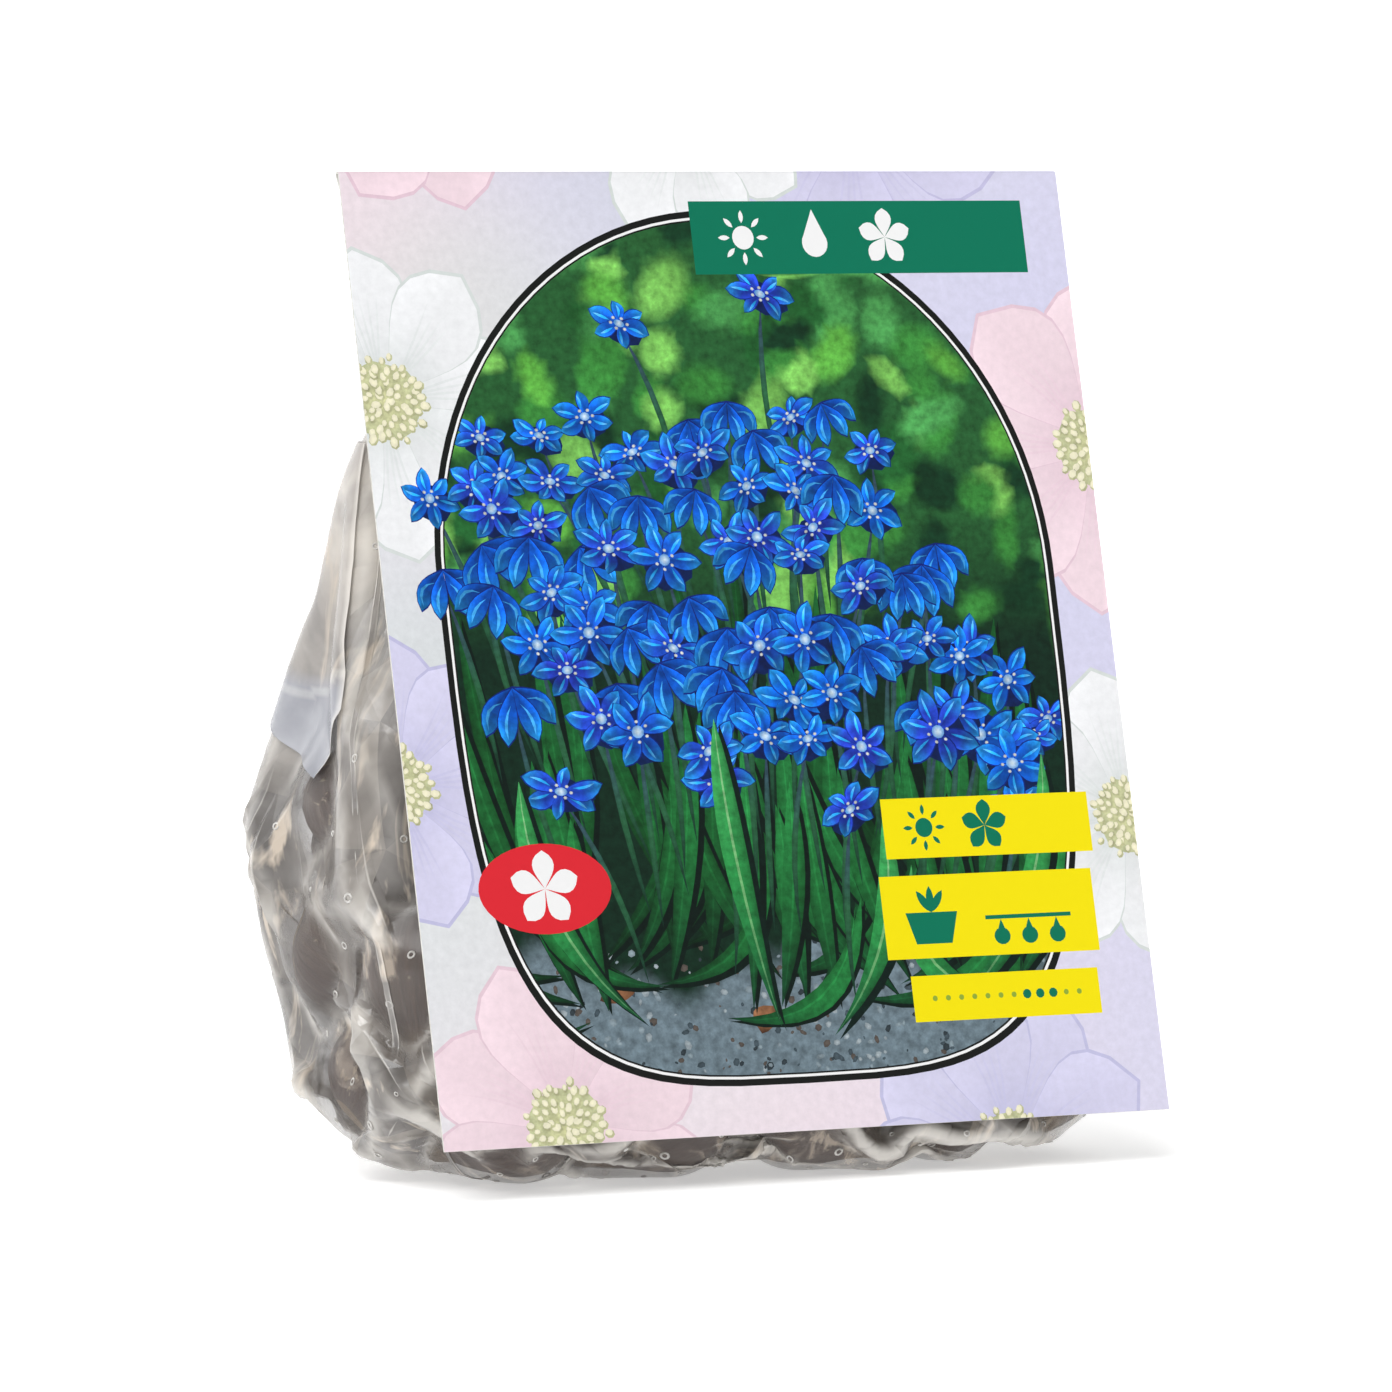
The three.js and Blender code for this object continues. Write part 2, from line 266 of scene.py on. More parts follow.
def add_coats(tree, colour, *coats):
    """A colour under coats of others, each given as its mask, the mask's strength and a colour."""
    for mask, strength, tint in coats:
        colour = add_mix(tree, add_math(tree, "MULTIPLY", mask, strength), colour, tint)
    return colour


def add_bump(tree, height, strength, distance):
    inputs = {"Height": height, "Strength": strength, "Distance": distance}
    return add_node(tree, "Bump", inputs).outputs["Normal"]


bulb_skin = new_material("papery_bulb_skin", Roughness=0.5, Coat_Weight=0.1, Coat_Roughness=0.35)
tree, place = open_nodes(bulb_skin)
upward = add_node(tree, "SeparateXYZ", {"Vector": place["UV"]}).outputs["Y"]  # from root to neck
veins = add_scaled(tree, place["UV"], (34.0, 1.3, 1.0))
veins = add_noise(tree, veins, 2.2, 5.0, Distortion=0.4)
blush = add_noise(tree, place["Object"], 85.0, 3.0)
flakes = add_noise(tree, place["Object"], 150.0, 6.0, Roughness=0.7, Distortion=1.5)
shed = add_math(tree, "GREATER_THAN", flakes, 0.63)
root_plate = add_math(tree, "LESS_THAN", upward, 0.1)
dry_neck = add_range(tree, upward, 0.74, 0.9)
papery = add_ramp(tree, veins, (0.3, (0.028, 0.016, 0.018)), (0.52, (0.085, 0.05, 0.042)),
                  (0.78, (0.2, 0.125, 0.085)))
papery = add_coats(tree, papery, (blush, 1.0, (0.052, 0.03, 0.03)), (shed, 0.6, (0.42, 0.34, 0.25)),
                   (root_plate, 1.0, (0.24, 0.17, 0.1)), (dry_neck, 0.75, (0.33, 0.24, 0.15)))
wrinkle = add_math(tree, "MULTIPLY_ADD", shed, 0.35, veins)
set_shader(bulb_skin, Base_Color=papery, Normal=add_bump(tree, wrinkle, 0.5, 0.0007))
for number, (centre, axis, radius) in enumerate(bulbs, 1):
    piece = bulb_mesh(f"squill_bulb_{number:02d}", centre, axis, radius, number)
    piece.data.materials.append(bulb_skin)
    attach(piece, "root")
    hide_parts(f"bulb_{number:02d}")


# ---- Film bag ----------------------------------------------------------------------------------
# A tube of thin film, welded flat at the bottom and glued flat at the neck. It is laid on the
# outside of the CAD bag with some film to spare, then drawn in until it hangs on the bulbs.

columns, rows = 360, 180  # round the bag, and from its neck to its bottom weld
base_rows, neck_rows = 26, 16  # of these rows, those under the bag and those in the card's fold
film_round, film_long = 440.0, 250.0  # the film's size laid out, mm
spare_film = 0.01  # slack between two points of the film, as a share of their distance
film_gap = 0.25 * MM  # kept free between the film and what it hangs on
swell_out = 0.8 * MM  # that the film starts outside the CAD bag

card_tall, flap_tall, neck_tall, neck_below = 168, 22, 22, 2.5  # mm; the neck ends below the fold
board = 0.4 * MM
card_lean = math.radians(14)
card_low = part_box("header_card")[0]
card_up = Vector((0, math.sin(card_lean), math.cos(card_lean)))
card_back = Vector((0, math.cos(card_lean), -math.sin(card_lean)))
card_foot = Vector((0, card_low.y, card_low.z + 0.5 * MM * math.sin(card_lean)))  # front lower edge

cad_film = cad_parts["film_bag"].data
cad_skin = BVHTree.FromPolygons([vertex.co for vertex in cad_film.vertices],
                                [polygon.vertices[:] for polygon in cad_film.polygons])


def section_at(z):
    """The CAD bag's outline at a height: half width, middle, half depth and squareness."""
    beside = 12 * MM  # off the middle, to miss the vent holes
    front = cad_skin.ray_cast(Vector((beside, -1, z)), Vector((0, 1, 0)))[0].y
    back = cad_skin.ray_cast(Vector((beside, 1, z)), Vector((0, -1, 0)))[0].y
    middle, half_depth = (front + back) / 2, (back - front) / 2
    half_width = cad_skin.ray_cast(Vector((1, middle, z)), Vector((-1, 0, 0)))[0].x
    slant = Vector((half_width, -half_depth, 0))
    corner = cad_skin.ray_cast(Vector((0, middle, z)) + 2 * slant, -slant)[0]
    square = math.log(2) / math.log(half_width / corner.x)
    return half_width, middle, half_depth, min(max(square, 2), 5)


def outline_points(section, count):
    """Evenly spaced points round an outline, starting at +X and turning towards the back."""
    half_width, middle, half_depth, square = section
    angle = np.linspace(0, 2 * math.pi, 721)
    swell = lambda value: np.sign(value) * np.abs(value) ** (2 / square)
    x, y = half_width * swell(np.cos(angle)), half_depth * swell(np.sin(angle))
    travelled = np.concatenate([[0], np.cumsum(np.hypot(np.diff(x), np.diff(y)))])
    wanted = np.linspace(0, travelled[-1], count, endpoint=False)
    return np.stack([np.interp(wanted, travelled, x), middle + np.interp(wanted, travelled, y)], 1)


film_low, film_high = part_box("film_bag")
neck_foot = film_high.z - neck_tall * MM
neck_crown = card_foot + card_up * (card_tall - neck_below) * MM + card_back * (board + 0.16 * MM)
neck_start = neck_crown - card_up * neck_tall * MM
body_rows = rows - base_rows - neck_rows
film = np.zeros((rows, columns, 3))
for row in range(neck_rows):
    place = neck_crown.lerp(neck_start, row / neck_rows)
    half_width = section_at(neck_foot + 1 * MM)[0] + 2.8 * MM
    film[row, :, :2] = outline_points((half_width, place.y + 0.1 * MM, 0.1 * MM, 3), columns)
    film[row, :, 2] = place.z
fall = np.linspace(0, 1, body_rows)
heights = neck_foot - (neck_foot - film_low.z - 0.6 * MM) * np.sin(fall * math.pi / 2) ** 1.15
for row, z in enumerate(heights, neck_rows):
    half_width, mid, half_depth, square = section_at(float(z))
    fuller = swell_out + 2 * MM * (z / neck_foot) ** 4
    wider = (half_width + fuller, mid, half_depth + swell_out, square)
    film[row, :, :2] = outline_points(wider, columns)
    film[row, :, 2] = z
base = film[-base_rows - 1].copy()
middle = base.mean(0)
for row in range(base_rows):
    share = (row + 1) / base_rows
    film[row - base_rows] = middle + (base - middle) * (1 - 0.3 * share, 1 - 0.99 * share, 1)
    film[row - base_rows, :, 2] = 0.5 * MM


def scatter_facets(spacing, seed):
    """Flat facets between scattered points of the unrolled film, with heights from -1 to 1."""
    dice = np.random.default_rng(seed)
    across, down = round(film_round / spacing), round(film_long / spacing) + 3
    spots, levels = [], []
    for j in range(down):
        for i in range(across + 1):
            at_seam = i in (0, across)
            off_u, off_v, level = (0, 0, 0)
            if not at_seam:
                off_u, off_v, level = dice.uniform((-0.42, -0.42, -1), (0.42, 0.42, 1))
            spots.append(Vector(((i + off_u) * film_round / across, (j - 1 + off_v) * spacing)))
            levels.append(level)
    corners, _, triangles, origins, _, _ = delaunay_2d_cdt(spots, [], [], 0, 1e-6, True)
    raised = [Vector((*corner, levels[origin[0]])) for corner, origin in zip(corners, origins)]
    return raised, triangles


def facet_heights(facets, u, v):
    """The facets' height over places of the unrolled film, and which facet lies there."""
    surface = BVHTree.FromPolygons(*facets)
    hits = [surface.ray_cast((a, b, 9), (0, 0, -1)) for a, b in zip(u.ravel(), v.ravel())]
    return (np.array([0.0 if hit[0] is None else hit[0].z for hit in hits]).reshape(u.shape),
            np.array([0 if hit[2] is None else hit[2] for hit in hits]).reshape(u.shape))


grid_u, grid_v = np.meshgrid(np.arange(columns) * film_round / columns,
                             np.arange(rows) * film_long / (rows - 1))
low_down = np.clip((np.arange(rows) - 95) / 50, 0, 1)[:, None]  # more crumpled towards the bottom
crumple = (2.6 + 0.4 * low_down) * facet_heights(scatter_facets(19, 4), grid_u, grid_v)[0]
crumple += (0.2 + 0.4 * low_down) * facet_heights(scatter_facets(8, 5), grid_u, grid_v)[0]
crumple[:neck_rows] = 0
crumple[neck_rows:neck_rows + 24] *= np.linspace(0, 1, 24)[:, None]
crumple[-base_rows:] *= 0.3


def facing_out(sheet):
    """Which way the film faces at each point of its grid."""
    facing = np.cross(np.roll(sheet, -1, 1) - np.roll(sheet, 1, 1), np.gradient(sheet, axis=0))
    return -facing / (np.linalg.norm(facing, axis=2, keepdims=True) + 1e-12)


film += facing_out(film) * crumple[..., None] * MM

balls = []  # each bulb as four balls that together cover it: centre and radius
for centre, axis, radius in bulbs:
    for share in (0, 1 / 3, 2 / 3, 1):
        balls.append((*(centre + axis * 1.25 * radius * share), radius * (1 - 0.65 * share)))


def film_links(sheet, free):
    """Every link between near points, as pairs of views into the sheet that share no point."""
    links = []

    def tie(rows_a, columns_a, rows_b, columns_b, stiffness, give):
        a, b = sheet[:, rows_a, columns_a], sheet[:, rows_b, columns_b]
        spare = 1 + spare_here[rows_a] * give
        rest = np.sqrt(((b - a) ** 2).sum(0)) * spare
        held = np.maximum(free[rows_a, columns_a] + free[rows_b, columns_b], 1e-9)
        links.append((a, b, rest, stiffness * free[rows_a, columns_a] / held,
                      stiffness * free[rows_b, columns_b] / held))

    spare_here = np.full((rows, 1), spare_film)
    spare_here[:neck_rows] = 0
    spare_here[neck_rows:neck_rows + rows // 4, 0] = np.linspace(0, spare_film, rows // 4)
    every = slice(None)
    for reach, stiffness in ((1, 1), (2, fold_near), (4, fold_far)):
        for first in range(2 * reach):
            (near, far), (high, low) = (
                (slice(first, count - reach, 2 * reach), slice(first + reach, count, 2 * reach))
                for count in (columns, rows))
            tie(every, near, every, far, stiffness, 1)
            tie(high, every, low, every, stiffness, 0.35)
    for first in (0, 1):
        upper, lower = slice(first, rows - 1, 2), slice(first + 1, rows, 2)
        for left, right in ((slice(0, -1), slice(1, None)), (slice(-1, None), slice(0, 1))):
            tie(upper, left, lower, right, 0.6, 0.7)
            tie(upper, right, lower, left, 0.6, 0.7)
    tie(every, slice(columns - 1, columns), every, slice(0, 1), 1, 1)
    return links


def hang_film(sheet, steps, sweeps):
    """Draws the film in on the bulbs, keeping its lengths, and clear of the bulbs, card and floor.
    The sheet is one layer each of x, y and z over the film's rows and columns."""
    free = np.ones((rows, columns))
    free[: neck_rows - 2] = free[-1] = 0
    links = film_links(sheet, free)
    grain = np.random.default_rng(11).normal(size=sheet.shape)
    for _ in range(4):
        grain = sum(np.roll(grain, turn, axis) for turn in (-1, 1) for axis in (1, 2)) / 3
    sheet += 0.1 * MM * grain * free
    up, back = (np.array(v)[:, None, None] for v in (card_up, card_back))
    foot = np.array(card_foot)[:, None, None]
    speed = np.zeros_like(sheet)
    for step in range(steps):
        across = np.roll(sheet, -1, 2) - np.roll(sheet, 1, 2)
        inward = np.cross(across, np.gradient(sheet, axis=1), axis=0)
        inward /= np.sqrt((inward ** 2).sum(0)) + 1e-12
        before = sheet.copy()
        sheet += (speed * momentum + inward * draw_in * (1 - step / steps)) * free
        if step % 10 == 0:
            near = []
            for x, y, z, radius in balls:
                gap = (sheet[0] - x) ** 2 + (sheet[1] - y) ** 2 + (sheet[2] - z) ** 2
                touched = np.nonzero(gap < (radius + near_bulb) ** 2)
                if len(touched[0]):
                    near.append((touched, np.array((x, y, z))[:, None], radius + film_gap))
        for sweep in range(sweeps):
            for a, b, rest, share_a, share_b in links:
                gap = b - a
                pull = 1 - rest / np.maximum(np.sqrt((gap ** 2).sum(0)), 1e-9)
                a += gap * (pull * share_a)
                b -= gap * (pull * share_b)
            for (row, column), centre, radius in near:
                gap = sheet[:, row, column] - centre
                length = np.sqrt((gap ** 2).sum(0))
                move = radius / length - 1
                move = np.where(move > 0, move, cling * np.where(move > -cling_reach, move, 0))
                sheet[:, row, column] += gap * move
            height, depth = (((sheet - foot) * axis).sum(0) for axis in (up, back))
            by_card = (height > 0) & (free > 0)
            sheet += back * np.where(by_card, np.maximum(board + film_gap - depth, 0), 0)
            sheet[2] = np.maximum(sheet[2], 0.3 * MM)
        speed[:] = sheet - before
    return sheet


def sharpen_creases(sheet, rounds, softness):
    """Turns soft folds into flat facets that meet in creases: each small face takes the direction
    of the neighbours that face nearly its own way, and the points then follow their faces."""
    for _ in range(rounds):
        wrapped = np.concatenate([sheet, sheet[:, :, :1]], axis=2)
        low_right, high_left = wrapped[:, 1:, 1:], wrapped[:, :-1, :-1]
        low_left, high_right = wrapped[:, 1:, :-1], wrapped[:, :-1, 1:]
        facing = np.cross(low_right - high_left, high_right - low_left, axis=0)
        facing /= np.sqrt((facing ** 2).sum(0)) + 1e-12
        smooth = facing.copy()
        for down in (-2, -1, 0, 1, 2):
            for turn in (-2, -1, 0, 1, 2):
                beside = np.roll(np.roll(facing, down, 1), turn, 2)
                likeness = np.exp(-((beside - facing) ** 2).sum(0) / softness ** 2)
                smooth += beside * likeness
        smooth /= np.sqrt((smooth ** 2).sum(0)) + 1e-12
        middle = (low_right + high_left + low_left + high_right) / 4
        move = np.zeros_like(sheet)
        for down in (0, 1):
            for turn in (0, 1):
                faces = np.roll(smooth, turn, 2)
                centres = np.roll(middle, turn, 2)
                inner = slice(1, -1)
                face = faces[:, (1 - down):(rows - 1 - down)]
                centre = centres[:, (1 - down):(rows - 1 - down)]
                move[:, inner] += face * ((centre - sheet[:, inner]) * face).sum(0)
        sheet[:, neck_rows:-1] += move[:, neck_rows:-1] / 4
    return sheet


fold_near, fold_far = 0.3, 0.2  # how stiffly the film keeps from folding, over 2 and over 4 points
cling, cling_reach = 0.003, 0.16  # how strongly bulbs draw film on, and how far off, in radii
near_bulb = 4 * MM  # film within this of a bulb is kept off it
draw_in, momentum = 0.008 * MM, 0.9  # a step's pull at first, and the share of its move kept
film = hang_film(np.ascontiguousarray(film.transpose(2, 0, 1)), steps=100, sweeps=6)
film = sharpen_creases(film, rounds=14, softness=0.2)


def beside_mean(sheet, axes):
    """The mean of the four neighbours of each point."""
    return sum(np.roll(sheet, turn, axis) for axis in axes for turn in (1, -1)) / 4


# Takes out the grid's own steps along slanting creases.
film[:, neck_rows:-1] += 0.5 * (beside_mean(film, (2, 1)) - film)[:, neck_rows:-1]
film = film.transpose(1, 2, 0)

room = np.full((rows, columns), 1.0)  # from the film to the nearest bulb
for x, y, z, radius in balls:
    gap = film - np.array((x, y, z))
    room = np.minimum(room, np.sqrt((gap ** 2).sum(2)) - radius)
touch = np.clip(1 - (room - 0.6 * MM) / (2.2 * MM), 0, 1)
slope = facing_out(film)
bend_round = 1 - (slope * np.roll(slope, 1, 1)).sum(2)
bend_down = 1 - (slope * np.roll(slope, 1, 0)).sum(2)
bend_down[0] = 0
# Where the film bends sharply it is painted pale and more opaque: partly whitened film, partly a
# painted highlight on the crease.
crease_whitening_and_highlight_grid = np.clip((np.degrees(np.sqrt(2 * (bend_round + bend_down))) - 8) / 20, 0, 1)

# Long sharp creases, each a low roof over a slim rhombus: middle, direction, half length, half
# width and height. They stand up and down near the neck and lie every way near the bottom.
ridges, ridge_count = [], 250
crease_dice = np.random.default_rng(31)
while len(ridges) < ridge_count:
    middle = np.array([crease_dice.uniform(first, last)
                       for first, last in ((8, film_round - 8), (34, film_long - 8))])
    low_down = middle[1] / film_long
    angle = crease_dice.normal(math.pi / 2, 0.15 + 1.1 * low_down ** 2)
    ahead = np.array((math.cos(angle), math.sin(angle)))
    half_length = crease_dice.uniform(6, 26) * (1.25 - 0.8 * low_down)
    half_width = crease_dice.uniform(1.6, 5.5)
    ends = middle + np.outer((-1, 1), ahead * half_length)
    if ends[:, 0].min() > 2 and ends[:, 0].max() < film_round - 2 and ends[:, 1].min() > 27:
        height = half_width * crease_dice.uniform(0.16, 0.42)
        ridges.append((middle, ahead, half_length, half_width, height))


def roofs(u, v, narrow=None):
    """The creases' height over places of the unrolled film, or how near their tops those are."""
    total = np.zeros(len(u))
    for (x, y), (ahead_u, ahead_v), half_length, half_width, height in ridges:
        along = (u - x) * ahead_u + (v - y) * ahead_v
        off = (v - y) * ahead_u - (u - x) * ahead_v
        roof = np.maximum(1 - abs(along) / half_length - abs(off) / (narrow or half_width), 0)
        total = np.maximum(total, roof) if narrow else total + roof * height
    return total


# The film's mesh is cut along the borders of its facets and creases, which no grid could follow.
big_facets = scatter_facets(15, 21)
crease_line = 0.35  # half width of the pale line along a ridge's top (whitened film and painted highlight), mm
cell, cut_step = 1.75, 2.4  # the mesh's spacing, and the longest step of a cut, mm
across, down = round(film_round / cell), round(film_long / cell)
cell_points = [Vector(corner) for corner in
               ((0, 0), (film_round, 0), (film_round, film_long), (0, film_long))]
for j in range(down + 1):
    v, odd = j * film_long / down, j % 2
    cell_points += [Vector((0, v)), Vector((film_round, v))]
    cell_points += [Vector(((i + 0.5 * odd) * film_round / across, v))
                    for i in range(1 - odd, across)]
cell_lines, soft_lines = [], []


def cut_line(start, end, lines):
    """A line to cut the film's mesh along, in steps short enough to follow the film's own shape."""
    steps = max(round(math.dist(start, end) / cut_step), 1)
    first = len(cell_points)
    cell_points.extend(Vector(start).lerp(Vector(end), i / steps) for i in range(steps + 1))
    lines.extend((first + i, first + i + 1) for i in range(steps))


borders = {(min(pair), max(pair)) for a, b, c in big_facets[1] for pair in ((a, b), (b, c), (c, a))}
for a, b in sorted(borders):
    cut_line(big_facets[0][a].xy, big_facets[0][b].xy, cell_lines)
for middle, ahead, half_length, half_width, _ in ridges:
    beside = np.array((-ahead[1], ahead[0]))
    for off in (0, half_width, -half_width, crease_line, -crease_line):
        lines = soft_lines if abs(off) == crease_line else cell_lines
        for end in (-half_length, half_length):
            cut_line(middle + ahead * end, middle + beside * off, lines)
laid, laid_edges, laid_faces, _, laid_lines, _ = delaunay_2d_cdt(
    cell_points, cell_lines + soft_lines, [[0, 1, 2, 3]], 1, 1e-3, True)
laid_faces = np.array(laid_faces)
middle_u, middle_v = np.array([point[:] for point in laid])[laid_faces].mean(1).T
laid_faces = laid_faces[(middle_u > 0) & (middle_u < film_round)
                        & (middle_v > 0) & (middle_v < film_long)]
used = np.unique(laid_faces)
renumbered = {int(old): new for new, old in enumerate(used)}
laid = np.array([laid[i][:] for i in used])
laid_faces = [tuple(renumbered[i] for i in reversed(face)) for face in laid_faces.tolist()]
laid_edges = [tuple(renumbered.get(i, -1) for i in edge) for edge in laid_edges]
u, v = laid.T


def sample(grid, u=u, v=v):
    """Values of the film's grid at places of the unrolled film, by default those of its mesh."""
    column, row = u / film_round * columns, np.minimum(v / film_long * (rows - 1), rows - 1.001)
    i, j = np.floor(column).astype(int), np.floor(row).astype(int)
    s, t = column - i, row - j
    if grid.ndim == 3:
        s, t = s[:, None], t[:, None]
    upper = grid[j, i % columns] * (1 - s) + grid[j, (i + 1) % columns] * s
    lower = grid[j + 1, i % columns] * (1 - s) + grid[j + 1, (i + 1) % columns] * s
    return upper * (1 - t) + lower * t


here_touch, here_crease_whitening_and_highlight = sample(touch), sample(crease_whitening_and_highlight_grid)
crisp = np.clip(1.15 - here_touch, 0, 1)  # how far facets and creases stand up: less on a bulb,
crisp *= np.clip((v - 26) / 25, 0, 1) * np.clip((film_long - 16 - v) / 14, 0, 1)  # at both ends,
under_fold = np.clip(1.4 - np.maximum(abs(u - 211), abs(v - 70)) / 26, 0, 1)
crisp *= 1 - 0.9 * np.clip(under_fold * 2.5, 0, 1)  # and under the folded corner
lifts = 0.55 * (facet_heights(big_facets, u, v)[0] + 1) + roofs(u, v)
here_crease_whitening_and_highlight = np.maximum(here_crease_whitening_and_highlight, 0.8 * roofs(u, v, crease_line) * crisp)
skin_points = sample(film) + sample(slope) * (lifts * crisp * MM)[:, None]
deep = (skin_points - np.array(card_foot)) @ np.array(card_back)
behind = (skin_points - np.array(card_foot)) @ np.array(card_up) > 0
skin_points += np.outer(np.where(behind, np.maximum(board + 0.1 * MM - deep, 0), 0), card_back)
skin_points[:, 2] = np.maximum(skin_points[:, 2], 0.1 * MM)

left_side, right_side = (sorted(np.flatnonzero(side).tolist(), key=lambda i: v[i])
                         for side in (u < 1e-3, u > film_round - 1e-3))
own = np.ones(len(laid), bool)  # a point on the right side is the one on the left side
own[right_side] = False
number = np.cumsum(own) - 1
number[right_side] = number[left_side]
faces = [tuple(face) for face in number[np.array(laid_faces)].tolist()]
lids = []
for level, last in ((0, 0), (film_long, 1)):
    rim = sorted((i for i in np.flatnonzero(abs(v - level) < 1e-3) if own[i]), key=lambda i: u[i])
    middle = int(own.sum()) + last
    lids.append(skin_points[rim].mean(0))
    for i, j in zip(number[rim].tolist(), number[[*rim[1:], rim[0]]].tolist()):
        faces.append((middle, j, i) if last else (middle, i, j))
bag = add_mesh("film_bag_skin", [*skin_points[own], *lids], faces)


def add_field(piece, name, values, domain="POINT"):
    """Values that the piece's materials read, one for each point or corner."""
    piece.data.attributes.new(name, "FLOAT", domain).data.foreach_set("value", values)


for name, values in (("touch", here_touch), ("crease_whitening_and_highlight", here_crease_whitening_and_highlight), ("doubled", 0 * u)):
    add_field(bag, name, [*values[own], 0, 0])
# Each big facet gets a random tone of its own: partly uneven haze in the film, partly painted
# shading that stands in for facets catching the light differently.
facet_of = facet_heights(big_facets, *laid[np.array(laid_faces)].mean(1).T)[1]
face_haze_and_painted_shading = np.random.default_rng(5).uniform(0, 1, len(big_facets[1]))[facet_of]
face_haze_and_painted_shading = [*face_haze_and_painted_shading, *([0.5] * (len(faces) - len(face_haze_and_painted_shading)))]
add_field(bag, "facet_haze_and_painted_shading", np.repeat(face_haze_and_painted_shading, 3), "CORNER")


def add_map(piece, name, places, walls=0, left=0.0, right=0.0):
    """A UV map from one place for each point or corner of the piece. The first map is the one that
    its materials use, and OFBake is the one that its colours are baked through. There the last
    faces, the thin walls round the piece, are stacked up between left and right."""
    corners = piece.data.loops
    if len(places) != len(corners):
        places = np.asarray(places)[[corner.vertex_index for corner in corners]]
    if walls:
        stack = [((left, k), (left, k + 1), (right, k + 1), (right, k)) for k in range(walls)]
        places[-4 * walls:] = np.reshape(stack, (-1, 2)) / (1, walls)
    piece.data.uv_layers.new(name=name).data.foreach_set("uv", places.ravel())
    piece.data.uv_layers[0].active_render = True


skin_corners, lid_count = 3 * len(laid_faces), len(faces) - len(laid_faces)
laid_out = np.zeros((len(bag.data.loops), 2))
laid_out[:skin_corners] = laid[np.array(laid_faces)].reshape(-1, 2)
add_map(bag, "film", laid_out * MM)
laid_out = laid_out / (film_round, film_long) * (0.996, 0.96) + 0.002
laid_out[skin_corners:] = [((k + side) / lid_count, 0.985 if side == 0.5 else 0.975)
                           for k in range(lid_count) for side in (0.5, 0, 1)]
add_map(bag, "OFBake", laid_out)
bag.data.shade_smooth()
sharp = {tuple(sorted((int(number[a]), int(number[b]))))
         for (a, b), lines in zip(laid_edges, laid_lines)
         if min(a, b) >= 0 and any(line < len(cell_lines) for line in lines)}
for edge in bag.data.edges:
    edge.use_edge_sharp = tuple(sorted(edge.vertices)) in sharp

film_skin = new_material("hazy_film", Roughness=0.26, Coat_Weight=0.3, Coat_Roughness=0.12)
tree, place = open_nodes(film_skin)
touching, crease_whitening_and_highlight, facet_haze_and_painted_shading, doubled = (
    add_node(tree, "Attribute", {}, attribute_name=name).outputs["Fac"]
    for name in ("touch", "crease_whitening_and_highlight", "facet_haze_and_painted_shading", "doubled"))
cloud = add_noise(tree, place["Object"], 60.0, 4.0, Distortion=0.6)
fine = add_noise(tree, place["Object"], 420.0, 3.0)
# Painted highlights: cream streaks that stand in for reflections of the soft box on the film, which
# is also made a little more opaque there.
painted_highlight = add_scaled(tree, place["UV"], (1.0, 0.36, 1.0))
painted_highlight = add_noise(tree, painted_highlight, 120.0, 4.0, Roughness=0.6, Distortion=0.7)
painted_highlight = add_range(tree, painted_highlight, 0.56, 0.66, 0.0, 0.8)
down = add_node(tree, "SeparateXYZ", {"Vector": place["UV"]}).outputs["Y"]
empty = add_range(tree, down, 0.062, 0.1, 1.0, 0.0)  # 1 in the bag's empty head, where light from behind is painted in as a paler colour
haze_and_painted_light = add_ramp(tree, cloud, (0.36, (0.13, 0.119, 0.11)), (0.64, (0.28, 0.264, 0.248)))
# The paler colour of the empty head is painted backlight; it is also more see-through there.
pale = add_ramp(tree, cloud, (0.36, (0.5, 0.47, 0.44)), (0.62, (0.84, 0.79, 0.72)))
haze_and_painted_light = add_mix(tree, empty, haze_and_painted_light, pale)
# Facet by facet the film is made lighter or darker: uneven haze and painted facet shading.
facet_haze_and_painted_shading = add_ramp(tree, facet_haze_and_painted_shading, (0.0, (0.64, 0.64, 0.66)), (1.0, (1.36, 1.32, 1.26)))
haze_and_painted_light = add_mix(tree, add_math(tree, "MULTIPLY_ADD", empty, -0.5, 0.95), haze_and_painted_light, facet_haze_and_painted_shading, "MULTIPLY")
milky = add_ramp(tree, cloud, (0.36, (0.34, 0.35, 0.395)), (0.64, (0.49, 0.5, 0.545)))
# Coats: dark where a bulb touches, painted highlight streaks, milky where doubled, and pale creases
# (whitened film and painted highlight).
haze_and_painted_light = add_coats(tree, haze_and_painted_light, (touching, 0.7, (0.17, 0.145, 0.13)), (painted_highlight, 1.0, (0.7, 0.6, 0.49)),
                 (doubled, 1.0, milky), (crease_whitening_and_highlight, 0.68, (0.78, 0.75, 0.7)))
cover = add_math(tree, "MULTIPLY_ADD", cloud, 0.25, 0.70)
for field, gain in ((touching, -0.42), (crease_whitening_and_highlight, 0.35), (painted_highlight, 0.15), (empty, -0.2)):
    cover = add_math(tree, "MULTIPLY_ADD", field, gain, cover)
set_shader(film_skin, Base_Color=haze_and_painted_light, Alpha=cover, Normal=add_bump(tree, fine, 0.12, 0.0006))
bag.data.materials.append(film_skin)
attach(bag, "root")
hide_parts("film_bag")


# ---- Folded corner and side welds --------------------------------------------------------------
# Where the bag draws in under the card, its left corner is folded back on itself into a flat, milky
# double layer that ends in a point. A narrow hot weld runs down each side of the bag.

smooth_film = film.copy()
for _ in range(40):
    evened = beside_mean(smooth_film, (1, 0)) - smooth_film
    smooth_film[neck_rows:-1] += 0.5 * evened[neck_rows:-1]


